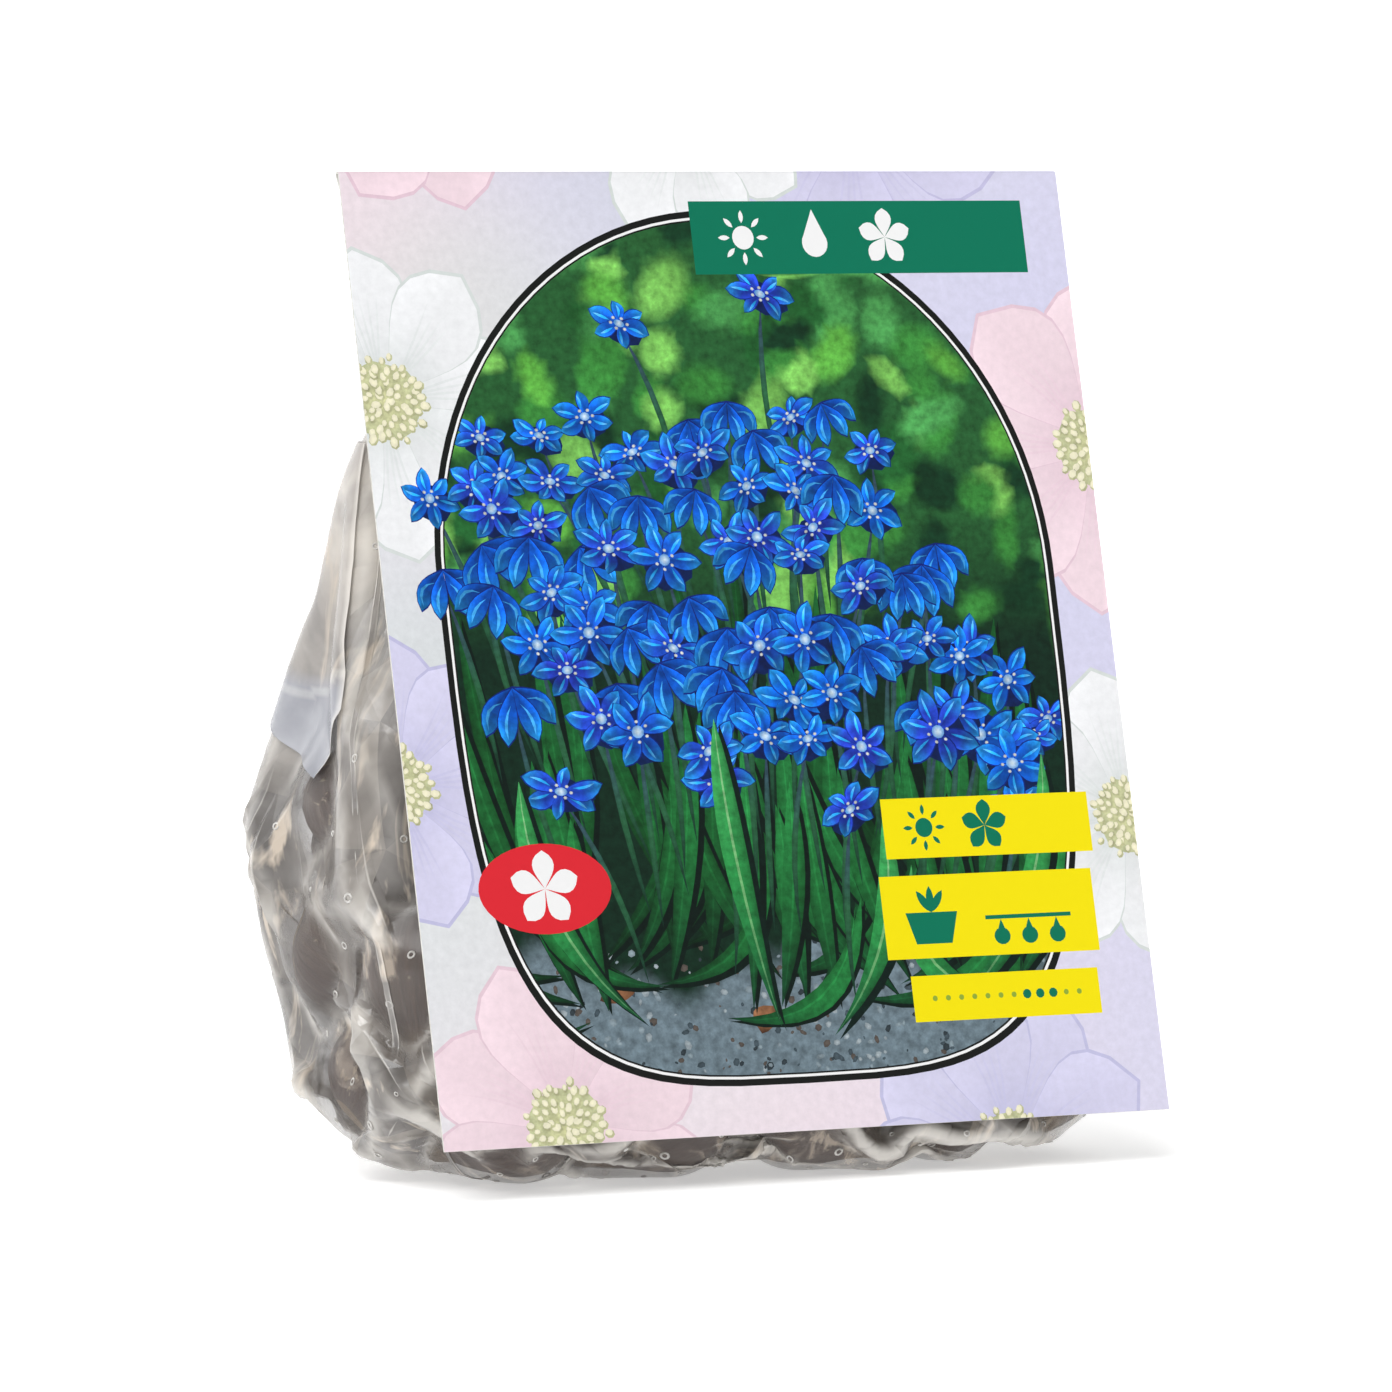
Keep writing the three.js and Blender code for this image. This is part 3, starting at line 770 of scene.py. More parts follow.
def add_strip(name, outer, inner, across, steps):
    """A closed strip between two layers of points, each of steps + 1 rows of across + 1."""
    count, wide = len(outer), across + 1
    quads = [(i * wide + j, i * wide + j + 1, (i + 1) * wide + j + 1, (i + 1) * wide + j)
             for i in range(steps) for j in range(across)]
    border = [*range(across), *range(across, steps * wide + across, wide),
              *range(count - 1, count - 1 - across, -1), *range(steps * wide, 0, -wide)]
    turned = [tuple(count + i for i in reversed(quad)) for quad in quads]
    walls = [(count + a, count + b, b, a) for a, b in zip(border, [*border[1:], border[0]])]
    strip = add_mesh(name, [*outer, *inner], [*quads, *turned, *walls])
    fix = bmesh.new()
    fix.from_mesh(strip.data)
    bmesh.ops.recalc_face_normals(fix, faces=fix.faces)
    fix.to_mesh(strip.data)
    fix.free()
    strip.data.shade_smooth()
    return strip


def film_strip(name, borders, steps, across, clear, thick, smooth, lift, crease_whitening_and_highlight, doubled):
    """A closed strip that lies on the film. Its left and right borders are given on the unrolled
    film, in mm. The last three are functions of the places across and along it, from 0 to 1."""
    borders = np.array(borders, float)
    stretches = np.linalg.norm(np.diff((borders[:, :2] + borders[:, 2:]) / 2, axis=0), axis=1)
    run = np.concatenate([[0], np.cumsum(stretches)])
    along = np.linspace(0, run[-1], steps + 1)
    edges = np.stack([np.interp(along, run, border) for border in borders.T], 1)
    s, t = np.meshgrid(np.linspace(0, 1, across + 1), np.linspace(0, 1, steps + 1))
    s, t, edges = s.ravel(), t.ravel(), np.repeat(edges, across + 1, 0)
    strip_u = edges[:, 0] * (1 - s) + edges[:, 2] * s
    strip_v = edges[:, 1] * (1 - s) + edges[:, 3] * s
    below, out = sample(film, strip_u, strip_v), sample(slope, strip_u, strip_v)
    out /= np.linalg.norm(out, axis=1)[:, None]
    middle = below + smooth * (sample(smooth_film, strip_u, strip_v) - below)
    height = np.maximum(((middle - below) * out).sum(1) / MM, clear)
    rim = np.minimum(np.minimum(s, 1 - s) * across, 1)
    inner = below + out * (height + lift(s, t))[:, None] * MM
    outer = inner + out * (thick * (0.4 + 0.6 * rim))[:, None] * MM
    strip = add_strip(name, outer, inner, across, steps)
    for key, field in (("touch", 0 * s), ("crease_whitening_and_highlight", crease_whitening_and_highlight(s, t)), ("doubled", doubled(s, t))):
        add_field(strip, key, [*field, *field])
    add_field(strip, "facet_haze_and_painted_shading", [0.5] * len(strip.data.loops), "CORNER")
    add_map(strip, "film", np.tile(np.stack([strip_u, strip_v], 1) * MM, (2, 1)))
    spread = np.stack([0.01 + 0.44 * s, 0.01 + 0.98 * t], 1)
    spread = np.concatenate([spread, spread + (0.47, 0)])
    add_map(strip, "OFBake", spread, 2 * (across + steps), 0.95, 0.98)
    strip.data.set_sharp_from_angle(angle=math.radians(50))
    strip.data.materials.append(film_skin)
    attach(strip, "root")
    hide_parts("film_bag")


# The crease field paints the folded edge, and a line across the fold, pale: whitened film and
# painted highlight.
film_strip(
    "folded_film_corner",
    ((192, 46, 221, 46), (188, 57, 226, 57.5), (186, 64, 229, 63.6), (185.5, 70, 231.4, 69.6),
     (185, 76, 233, 75.6), (185, 81.5, 235.2, 80.5), (186, 86, 236.2, 86.4),
     (197, 90.2, 231.4, 90.6), (209.5, 93.8, 225.6, 94.2), (223, 97.8, 223.4, 97.8)),
    90, 36, clear=0.55, thick=0.2, smooth=0.9,
    lift=lambda s, t: 0.35 * np.clip(4 * s - 3, 0, 1) ** 2 + 0.5 * np.clip(5 * t - 4, 0, 1) ** 2,
    crease_whitening_and_highlight=lambda s, t: 0.95 * (s > 0.985) + 0.3 * (abs(t - 0.64 - 0.03 * np.sin(4 * s)) < 0.012),
    doubled=lambda s, t: np.clip((t - 0.6) / 0.06, 0.12, 0.95),
)
for name, line in (
    ("left_side_weld", ((232, 56), (235.5, 66), (238, 76), (239.5, 90), (242, 104), (244.5, 118),
                        (244.5, 134), (242, 150), (240, 170), (237, 190), (235, 212))),
    ("right_side_weld", ((428, 52), (429, 62), (427, 75), (425, 90), (424, 110), (423, 130),
                         (424, 150), (426, 170), (428, 190), (430, 205))),
):
    # Each weld's edges are painted pale by the crease field: the weld's whitened bead and a painted
    # highlight.
    film_strip(
        name, [(x - 0.75, down, x + 0.75, down) for x, down in line],
        150, 8, clear=0.12, thick=0.12, smooth=0.0,
        lift=lambda s, t: 0.08 * (abs(s - 0.5) > 0.3) + 0.03 * np.sin(t * 260),
        crease_whitening_and_highlight=lambda s, t: (np.where(abs(s - 0.5) > 0.3, 0.75, 0.1)
                             * (0.55 + 0.45 * np.sin(t * 41) * np.sin(t * 97))),
        doubled=lambda s, t: np.full_like(s, 0.1),
    )


# ---- Needle holes ------------------------------------------------------------------------------
# The real film is pricked all over, in staggered rows, so that the bulbs can breathe. Each needle
# stretched the film into a small, pale, uneven rim; only these rims are built, on the film, which
# is left whole.

hole_pitch, hole_rows, hole_columns = 22.0, 18, 20  # mm; rows half as far apart, and staggered
hole_dice = np.random.default_rng(17)
hole_places = np.array([
    ((i + 0.5 * (j % 2)) * hole_pitch + 10 + hole_dice.uniform(-2.5, 2.5),
     40.5 + j * hole_pitch / 2 + hole_dice.uniform(-2, 2))
    for j in range(hole_rows) for i in range(hole_columns)
])
off_seam = 4  # at least, mm
hole_places = hole_places[abs(hole_places[:, 0] - film_round / 2) < film_round / 2 - off_seam]
nearest = [int(np.argmin((u - x) ** 2 + (v - y) ** 2)) for x, y in hole_places]
outwards = sample(slope, *hole_places.T)
outwards /= np.linalg.norm(outwards, axis=1)[:, None]
needle_holes = add_mesh("needle_hole_rims", skin_points[nearest], [])
directions = needle_holes.data.attributes.new("outward", "FLOAT_VECTOR", "POINT")
directions.data.foreach_set("vector", outwards.ravel())


def new_tree(name, kind, given, made):
    """A node tree with named inputs, each a title, a kind and a default, and one output."""
    tree = bpy.data.node_groups.new(name, kind + "NodeTree")
    for title, sort, default in given:
        socket = tree.interface.new_socket(title, in_out="INPUT", socket_type="NodeSocket" + sort)
        if default is not None:
            socket.default_value = default
    tree.interface.new_socket(made[0], in_out="OUTPUT", socket_type="NodeSocket" + made[1])
    first, last = (tree.nodes.new(end) for end in ("NodeGroupInput", "NodeGroupOutput"))
    return tree, first.outputs, last.inputs[0]


mottled, given, result = new_tree("mottled", "Shader", (
    ("Vector", "Vector", None), ("Scale", "Float", 500.0), ("Detail", "Float", 3.0),
    ("Roughness", "Float", 0.5), ("Distortion", "Float", 0.0), ("Lowest", "Float", 0.35),
    ("Highest", "Float", 0.65), ("Dark", "Color", None), ("Pale", "Color", None),
), ("Color", "Color"))
patches = add_noise(mottled, given["Vector"], given["Scale"], given["Detail"],
                    Roughness=given["Roughness"], Distortion=given["Distortion"])
patches = add_range(mottled, patches, given["Lowest"], given["Highest"])
plug(mottled, result, add_mix(mottled, patches, given["Dark"], given["Pale"]))


def add_mottle(tree, where, scale, detail, dark, pale, **more):
    """Soft patches of two colours: the mottled group with a material's own values."""
    inputs = {"Vector": where, "Scale": scale, "Detail": detail, "Dark": dark, "Pale": pale, **more}
    return add_node(tree, "Group", inputs, node_tree=mottled).outputs["Color"]


rim_film = new_material("stretched_film_rim", Roughness=0.35, Coat_Weight=0.3, Coat_Roughness=0.2)
tree, place = open_nodes(rim_film)
pale_rim = add_mottle(tree, place["Object"], 900.0, 3.0, (0.4, 0.385, 0.36), (0.82, 0.8, 0.77))
set_shader(rim_film, Base_Color=pale_rim)

punch, given, result = new_tree("punched_rims", "Geometry", (
    ("Holes", "Geometry", None), ("Material", "Material", None),
    ("Rim Radius", "Float", 0.0006), ("Rim Thickness", "Float", 0.0002),
), ("Rims", "Geometry"))
circle = "GeometryNodeCurvePrimitiveCircle"
ring = add_node(punch, circle, {"Resolution": 9, "Radius": given["Rim Radius"]}).outputs["Curve"]
bead = add_node(punch, circle, {"Resolution": 4, "Radius": given["Rim Thickness"]}).outputs["Curve"]
tube = add_node(punch, "GeometryNodeCurveToMesh", {"Curve": ring, "Profile Curve": bead})
outward = add_node(punch, "GeometryNodeInputNamedAttribute", {"Name": "outward"},
                   data_type="FLOAT_VECTOR").outputs["Attribute"]
aligned = add_node(punch, "FunctionNodeAlignRotationToVector", {"Vector": outward}, axis="Z")
uneven = {"Min": (0.55, 0.55, 0.5), "Max": (1.5, 1.5, 1.0), "Seed": 3}
uneven = add_node(punch, "FunctionNodeRandomValue", uneven, data_type="FLOAT_VECTOR")
placed = add_node(punch, "GeometryNodeInstanceOnPoints", {
    "Points": given["Holes"], "Instance": tube.outputs["Mesh"],
    "Rotation": aligned.outputs["Rotation"], "Scale": uneven.outputs["Value"]})
real = add_node(punch, "GeometryNodeRealizeInstances", {"Geometry": placed.outputs["Instances"]})
painted = add_node(punch, "GeometryNodeSetMaterial", {
    "Geometry": real.outputs["Geometry"], "Material": given["Material"]})
plug(punch, result, painted.outputs["Geometry"])

modifier = needle_holes.modifiers.new("punched_rims", "NODES")
modifier.node_group = punch
sockets = {item.name: item.identifier for item in punch.interface.items_tree}
modifier[sockets["Rim Radius"]] = 0.5 * MM
modifier[sockets["Rim Thickness"]] = 0.17 * MM
modifier[sockets["Material"]] = rim_film
punched = needle_holes.evaluated_get(bpy.context.evaluated_depsgraph_get())
rims = bpy.data.meshes.new_from_object(punched)
needle_holes.modifiers.clear()
rims.materials.clear()
rims.materials.append(rim_film)
rims.polygons.foreach_set("material_index", [0] * len(rims.polygons))
needle_holes.data = rims
needle_holes.data.shade_smooth()
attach(needle_holes, "root")


# ---- Glue strips -------------------------------------------------------------------------------
# Two bands of amber melt glue, laid on hot and squeezed flat between the film's neck and the two
# sides of the fold. They alone hold the bag in its card.

melt_glue = new_material("squeezed_glue", Roughness=0.3, Coat_Weight=0.2, Coat_Roughness=0.2)
tree, place = open_nodes(melt_glue)
bubbles = {"Vector": place["Object"], "Scale": 900.0}
bubbles = add_node(tree, "TexVoronoi", bubbles).outputs["Distance"]
amber = add_mottle(tree, place["Object"], 140.0, 3.0, (0.5, 0.42, 0.27), (0.7, 0.64, 0.48))
set_shader(melt_glue, Base_Color=amber, Normal=add_bump(tree, bubbles, 0.25, 0.0003))

glue_dice = np.random.default_rng(23)
across, tall, wave_long = 90, 12, 9  # all in mesh steps
for name, node, deep in (("squeezed_front_glue", "front_glue_strip", 0.41),
                         ("squeezed_rear_glue", "rear_glue_strip", 0.79)):
    low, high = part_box(node)
    bottom, top = ((z - card_foot.z) / card_up.z for z in (low.z + 0.4 * MM, high.z - 0.4 * MM))
    wave = glue_dice.normal(size=2 * (across + wave_long))
    wave = np.convolve(wave, np.ones(wave_long) / wave_long, "same").reshape(2, -1) * MM
    layers = ([], [])
    for i in range(across + 1):
        for j in range(tall + 1):
            share = j / tall
            swell = 0.08 * (1 - abs(2 * share - 1) ** 6)
            height = (bottom + wave[0, i]) * (1 - share) + (top + wave[1, i]) * share
            x = low.x + (high.x - low.x) * i / across
            place = card_foot + Vector((x, 0, 0)) + card_up * height
            for layer, out in zip(layers, (0.01, 0.03 + swell)):
                layer.append(place + card_back * (deep + out) * MM)
    glue = add_strip(name, *layers, tall, across)
    glue.data.materials.append(melt_glue)
    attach(glue, "root")
    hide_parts(node)


# ---- Header card -------------------------------------------------------------------------------
# Thin board, printed on one side and folded over the bag's neck. The print is a made-up bed of blue
# star flowers in an arched window on a pastel ground. It is real geometry: every petal, leaf and
# panel is a shape laid on the ones before it, and the board is cut along those of their outlines
# that show.

half_card, half_flap = 70, 66  # half their widths, mm; the sheet below is laid out in mm too
fold_radius = 0.66  # of the board's outer side
fold_start = card_tall - fold_radius
fold_end = fold_start + math.pi * fold_radius
flap_end = fold_end + flap_tall - fold_radius
dice = random.Random(40)
shapes = []  # lowest first: outline, colour function, print texture, and whether the window cuts it
sheet_points, free_points = [], set()
sheet_lines, line_shapes = [], []  # lines within shapes, such as a petal's middle, and whose


def ink(red, green, blue):
    """A printed colour, given as it looks on screen, as the colour of the board there."""
    return np.array([0.86 * ((value / 255 + 0.055) / 1.055) ** 2.4 for value in (red, green, blue)])


def lay_line(line, owner):
    """Lays a line inside a shape, or across all of them if it has no owner."""
    start = len(sheet_points)
    sheet_points.extend(line)
    sheet_lines.extend((i, i + 1) for i in range(start, len(sheet_points) - 1))
    line_shapes.extend([owner] * (len(line) - 1))


def lay(outline, colour, texture=1.0, framed=True, ribs=()):
    """Lays a shape on the sheet. Its colour is one ink or a function of the points' places."""
    first = len(sheet_points)
    sheet_points.extend(outline)
    for rib in ribs:
        lay_line(rib, len(shapes))
    shapes.append((list(range(first, first + len(outline))), colour, texture, framed))


def lay_lattice(spots, jitter):
    """Points scattered over a shape whose colour changes within it."""
    for x, s in spots:
        free_points.add(len(sheet_points))
        sheet_points.append((x + dice.uniform(-jitter, jitter), s + dice.uniform(-jitter, jitter)))


def lay_blade(start, finish, width, inks, bend=0.0, fullest=0.5, steps=6, rib=0.0, side=0.0, **how):
    """A petal, leaf or stem: a bent strip with pointed ends, in one ink or in three, for its root,
    middle and tip. rib lightens its middle line. side lightens one edge and darkens the other."""
    start, finish = np.array(start, float), np.array(finish, float)
    reach = math.hypot(*(finish - start))
    ahead = (finish - start) / reach
    beside = np.array((-ahead[1], ahead[0]))
    power = math.log(0.5) / math.log(fullest)
    half = lambda t: width / 2 * np.sin(math.pi * np.clip(t, 0, 1) ** power) ** 0.75
    t = np.linspace(0, 1, steps + 1)
    line = start + np.outer(t * reach, ahead) + np.outer(bend * 4 * t * (1 - t), beside)
    edge = np.outer(half(t), beside)
    root, middle, tip = np.broadcast_to(inks, (3, 3))

    def colour(points):
        along = (points - start) @ ahead / reach
        off = (points - start) @ beside - bend * 4 * along * (1 - along)
        off = np.clip(off / (half(along) + 1e-3), -1, 1)[:, None]
        along = np.clip(along, 0, 1)[:, None]
        base = np.where(along < 0.5, root + (middle - root) * along * 2,
                        middle + (tip - middle) * (along * 2 - 1))
        return base * (1 + rib * (1 - abs(off)) + side * off)

    outline = [*(line - edge)[:-1], *(line + edge)[:0:-1]]
    lay(outline, colour, ribs=[line[1:-1]] if rib or side else (), **how)


def polar(spot, away, angle):
    """The place that lies a way off a spot, in the direction of an angle."""
    return np.array(spot, float) + away * np.array((math.cos(angle), math.sin(angle)))


def lay_disc(centre, width, height, turn, inner, outer, count=12, wobble=0.0, **how):
    """A round or oval spot with a colour in its middle and one at its edge."""
    centre = np.array(centre, float)
    outline = []
    for i in range(count):
        angle = 2 * math.pi * i / count
        x = width / 2 * math.cos(angle) * (1 + dice.uniform(-wobble, wobble))
        y = height / 2 * math.sin(angle) * (1 + dice.uniform(-wobble, wobble))
        outline.append(centre + (x * math.cos(turn) - y * math.sin(turn),
                                 x * math.sin(turn) + y * math.cos(turn)))
    reach = (width + height) / 4

    def colour(points):
        share = np.clip(np.hypot(*(points - centre).T) / reach, 0, 1)[:, None]
        return inner + (outer - inner) * share

    lay(outline, colour, ribs=[[centre, centre + (0.02, 0)]] if inner is not outer else (), **how)


window_mid, half_window, window_rise, window_drop = 97, 58, 62, 87


def window(grow):
    """The outline of the picture's window: round above, upright with soft corners below."""
    outline = []
    for i in range(96):
        angle = 2 * math.pi * i / 96
        square = 2.0 if math.sin(angle) > 0 else 3.6
        tall = window_rise if math.sin(angle) > 0 else window_drop
        swell = lambda value: math.copysign(abs(value) ** (2 / square), value)
        across, up = swell(math.cos(angle)), swell(math.sin(angle))
        outline.append(((half_window + grow) * across, window_mid + (tall + grow) * up))
    return outline


def tones(inks, strength):
    """The same inks a little lighter or darker."""
    return [colour * (1 + dice.uniform(-strength, strength)) for colour in inks]


# The pastel ground, lilac to green-grey, with pale round blossoms some 55 mm across.
soft = np.random.default_rng(7)
clouds = [(soft.uniform(-80, 80), soft.uniform(-10, 200), soft.uniform(18, 40), ink(*tint))
          for tint in [(226, 224, 247), (212, 221, 208), (251, 232, 240), (240, 242, 249),
                       (222, 220, 246)] * 5]


def ground_colour(points):
    total, weight = np.zeros((len(points), 3)), np.full((len(points), 1), 1e-6)
    for x, s, reach, tint in clouds:
        near = np.exp(-((points[:, 0] - x) ** 2 + (points[:, 1] - s) ** 2) / reach ** 2)[:, None]
        total, weight = total + near * tint, weight + near
    return total / weight


lay([(-half_card, 0), (half_card, 0), (half_card, fold_end), (half_flap, flap_end),
     (-half_flap, flap_end), (-half_card, fold_end)], ground_colour, 0.16, False)
lay_lattice([(x, s) for x in range(-66, 70, 6) for s in range(3, 190, 6)], 1.8)


def lay_pastel_blossom(x, s, reach, petals, tint, vein):
    outside = dict(texture=0.15, framed=False)
    first = dice.uniform(0, 2)
    for i in [*range(0, petals, 2), *range(1, petals, 2)]:
        angle = first + 2 * math.pi * i / petals
        long = reach * dice.uniform(0.9, 1.05)
        bend = dice.uniform(-0.05, 0.05) * long
        lay_blade((x, s), polar((x, s), long + 0.7, angle), long * 0.65,
                  (vein * 0.97, vein, vein), bend, 0.66, 9, **outside)
        lay_blade((x, s), polar((x, s), long, angle), long * 0.62,
                  tones((vein, tint, tint * 1.04), 0.02), bend, 0.66, 9, rib=-0.05, side=0.04,
                  texture=0.14, framed=False)
        for lean in (-0.15, -0.05, 0.04, 0.14):
            lay_blade(polar((x, s), 3, angle), polar((x, s), 0.8 * long, angle + lean), 0.45,
                      (vein, (vein + tint) / 2, tint), bend * 0.8, 0.4, 4, **outside)
    cream, husk = ink(250, 245, 214), ink(196, 196, 152)
    lay_disc((x, s), reach * 0.5, reach * 0.46, 0, ink(216, 216, 164), ink(200, 204, 160), 14, 0.1,
             texture=0.8, framed=False)
    stamens, golden_turn = 70, 2.39996
    for i in range(stamens):
        away, angle = reach * 0.27 * math.sqrt((i + 0.5) / stamens), i * golden_turn
        spot = polar((x, s), away, angle) + (dice.uniform(-0.4, 0.4), dice.uniform(-0.4, 0.4))
        size = dice.uniform(1.1, 1.9)
        lay_disc(spot + (0.12, -0.2), size + 0.35, size * 0.8 + 0.35, angle, husk, husk, 7,
                 framed=False)
        lay_disc(spot, size, size * 0.75, angle, cream * 1.04, cream * 0.93, 7, 0.12, texture=0.3,
                 framed=False)


white, lilac, pink = ink(251, 252, 254), ink(223, 220, 247), ink(252, 228, 237)
for x, s, reach, petals, tint, vein in (
    (30, 178, 33, 9, lilac, ink(202, 198, 232)), (-52, 186, 27, 8, pink, ink(236, 206, 220)),
    (-66, 128, 29, 8, white, ink(222, 228, 226)), (71, 118, 30, 8, pink, ink(238, 208, 222)),
    (-72, 62, 27, 9, lilac, ink(200, 198, 232)), (69, 52, 27, 8, white, ink(222, 228, 226)),
    (-47, 3, 29, 8, pink, ink(238, 210, 222)), (38, -6, 31, 9, lilac, ink(202, 200, 234)),
    (-2, 178, 24, 8, white, ink(220, 227, 224)),
):
    lay_pastel_blossom(x, s, reach, petals, tint, vein)

# The window's rim, and the blurred garden behind the flowers.
black, clear_white = ink(22, 24, 22), ink(252, 252, 252)
lay(window(1.9), black, 0, False)
lay(window(0.75), clear_white, 0, False)
lay(window(0.3), black, 0, False)
picture = len(shapes)
blur = [(soft.uniform(-62, 62), soft.uniform(86, 164), soft.uniform(3.5, 8), soft.uniform(2.5, 5),
         soft.uniform(0, math.pi), ink(*tint) * soft.uniform(0.85, 1.15), soft.uniform(0.2, 0.5))
        for tint in [(96, 178, 70), (60, 140, 60), (130, 204, 96), (34, 98, 46), (16, 58, 34),
                     (78, 160, 84)] * 28]
shade, gloom, soil = ink(14, 44, 30), ink(40, 96, 50), ink(112, 130, 140)


def garden_colour(points):
    x, s = points.T
    high = np.clip((s - 84) / 22, 0, 1)[:, None]
    colour = shade + (gloom - shade) * high
    for bx, bs, long, wide, turn, tint, softness in blur:
        u = ((x - bx) * math.cos(turn) + (s - bs) * math.sin(turn)) / long
        v = ((s - bs) * math.cos(turn) - (x - bx) * math.sin(turn)) / wide
        share = np.clip((1 - np.hypot(u, v)) / softness, 0, 1)[:, None]
        colour = colour + (tint * (1 - 0.25 * u[:, None]) - colour) * share
    edge = 31 + 4 * np.sin(x * 0.11 + 1) + 2 * np.sin(x * 0.37)
    ground = np.clip((edge - s) / 5, 0, 1)[:, None]
    return colour + (soil * (1 + 0.12 * np.sin(x * 0.9 + s * 1.7)[:, None]) - colour) * ground


lay(window(0), garden_colour, 1.0)
lay_lattice([(-57 + 1.5 * i, 12 + 1.5 * j) for i in range(77) for j in range(98)
             if j > 48 or j < 20 or (i + j) % 3 == 0], 0.4)

# Crumbs of soil and a few dry leaves on it.
crumbs = (ink(70, 84, 92), ink(52, 62, 68), ink(138, 154, 162), ink(160, 172, 178), ink(92, 84, 78))
for _ in range(420):
    x, s = dice.uniform(-56, 56), 10 + 24 * dice.random() ** 1.3
    size, tint = dice.uniform(0.5, 1.7), dice.choice(crumbs)
    tall, turn = size * dice.uniform(0.5, 0.9), dice.uniform(0, 3)
    lay_disc((x, s), size, tall, turn, tint * 1.2, tint * 0.8, 6, 0.2)
for x, s, turn in ((-38, 24, 0.4), (30, 29, 2.6), (-8, 17, 1.2), (12, 33, 0.2), (47, 20, 1.9)):
    inks = tones((ink(70, 46, 34), ink(140, 96, 66), ink(96, 66, 46)), 0.2)
    lay_blade((x, s), (x + 8 * math.cos(turn), s + 5 * math.sin(turn)), 4.4, inks, 0.8, 0.5,
              rib=0.3, side=0.2)

# Strap leaves fan out of three clumps, the farthest and darkest first.
leaf_inks = (ink(12, 48, 30), ink(28, 104, 50), ink(34, 118, 58))
leaf_count = 84
for number in range(leaf_count):
    near = number / leaf_count
    clump = dice.choice((-36, 2, 38))
    x, s = clump + dice.gauss(0, 11), 34 - 12 * near + dice.uniform(-3, 3)
    lean = (x - clump) * 0.028 + dice.gauss(0, 0.34)
    long = dice.uniform(42, 78) * (1 - 0.25 * near) * (1 - 0.25 * abs(lean))
    tip = (x + long * math.sin(lean), s + long * math.cos(lean))
    gain = 0.35 + 0.75 * near
    inks = [colour * gain * dice.uniform(0.8, 1.2) for colour in leaf_inks]
    lay_blade((x + 0.5, s - 0.6), (tip[0] + 0.7, tip[1] - 0.5), dice.uniform(4.2, 5.4),
              ink(6, 26, 20), -lean * 9, 0.55, 8)
    lay_blade((x, s), tip, dice.uniform(3.2, 4.6), inks, -lean * 9, 0.55, 10, rib=0.35,
              side=dice.uniform(-0.3, 0.3))
    lay_blade((x, s), (tip[0] * 0.96 + x * 0.04, tip[1] * 0.96 + s * 0.04), 0.4,
              [colour * 1.7 for colour in inks], -lean * 8.6, 0.5, 8)


def lay_star(x, s, reach, facing, squash, **how):
    """An open star flower of six petals, seen more or less from the side."""
    def spot(away, angle):
        u, v = away * math.cos(angle), away * math.sin(angle) * squash
        return np.array((x + u * math.cos(facing) - v * math.sin(facing),
                         s + u * math.sin(facing) + v * math.cos(facing)))

    hue = dice.random()
    blue = ink(4, 104, 222) * (1 - hue) + ink(40, 66, 204) * hue
    light, deep, glint = ink(40, 168, 246), ink(14, 44, 140), ink(120, 200, 250)
    first = dice.uniform(0, 2)
    lay_disc((x + 0.5, s - 0.9), reach * 1.35, reach * 1.35 * squash, facing, ink(8, 24, 84),
             ink(10, 34, 84), 10, 0.15, **how)
    for i in (0, 2, 4, 1, 3, 5):
        angle = first + math.pi * i / 3 + dice.uniform(-0.12, 0.12)
        long, bend = reach * dice.uniform(0.88, 1.08), dice.uniform(-0.09, 0.09) * reach
        gain = dice.uniform(0.8, 1.2) * (1 + 0.3 * math.cos(angle + facing - 1.9))
        width = reach * 0.45 * (squash + (1 - squash) * abs(math.cos(angle)))
        lay_blade(spot(-0.3, angle), spot(long * 1.03, angle + 0.02), width * 1.1, deep * gain,
                  bend, 0.56, 7, **how)
        inks = (blue * 1.05 * gain, blue * 1.3 * gain, light * gain)
        lay_blade(spot(0, angle), spot(long, angle), width, inks, bend, 0.56, 7, rib=-0.5,
                  side=dice.uniform(-0.4, 0.4), **how)
        lean = dice.choice((-0.16, 0.16))
        inks = (light * gain * 0.8, light * gain * 1.2, glint * gain)
        lay_blade(spot(long * 0.3, angle + lean), spot(long * 0.85, angle + lean * 0.6), 0.5, inks,
                  bend * 0.5, 0.5, 4, **how)
    lay_disc((x, s), reach * 0.32, reach * 0.32 * squash, facing, ink(214, 232, 240),
             ink(96, 160, 226), 9, **how)
    for i in range(6):
        dot = spot(reach * 0.25, first + 0.5 + math.pi * i / 3)
        lay_disc(dot, 0.75, 0.6, facing, ink(244, 240, 214), ink(160, 170, 196), 6, **how)


def lay_nodding(x, s, reach, facing, **how):
    """A flower seen from behind or from below: four petals hanging from the stalk's tip."""
    root = np.array((x, s))
    for lean, gain in ((-0.75, 0.7), (0.8, 0.75), (-0.3, 1.05), (0.32, 1.15)):
        tip = np.array((x + reach * math.sin(lean + facing) * 1.1,
                        s - reach * math.cos(lean + facing) * 1.15))
        blue = ink(10, 96, 218) * gain * dice.uniform(0.8, 1.2)
        lay_blade(root + (0, 0.3), tip - (0, 0.3), reach * 0.46, ink(14, 36, 122), lean * 1.3,
                  0.6, 7, **how)
        lay_blade(root, tip, reach * 0.42, (blue * 0.7, blue * 1.25, ink(40, 164, 244) * gain),
                  lean * 1.3, 0.6, 7, rib=-0.45, side=math.copysign(0.35, lean), **how)
        lay_blade(root + (tip - root) * 0.3, root + (tip - root) * 0.9, 0.6,
                  ink(70, 176, 248) * gain, lean * 2.2, 0.6, 4, **how)


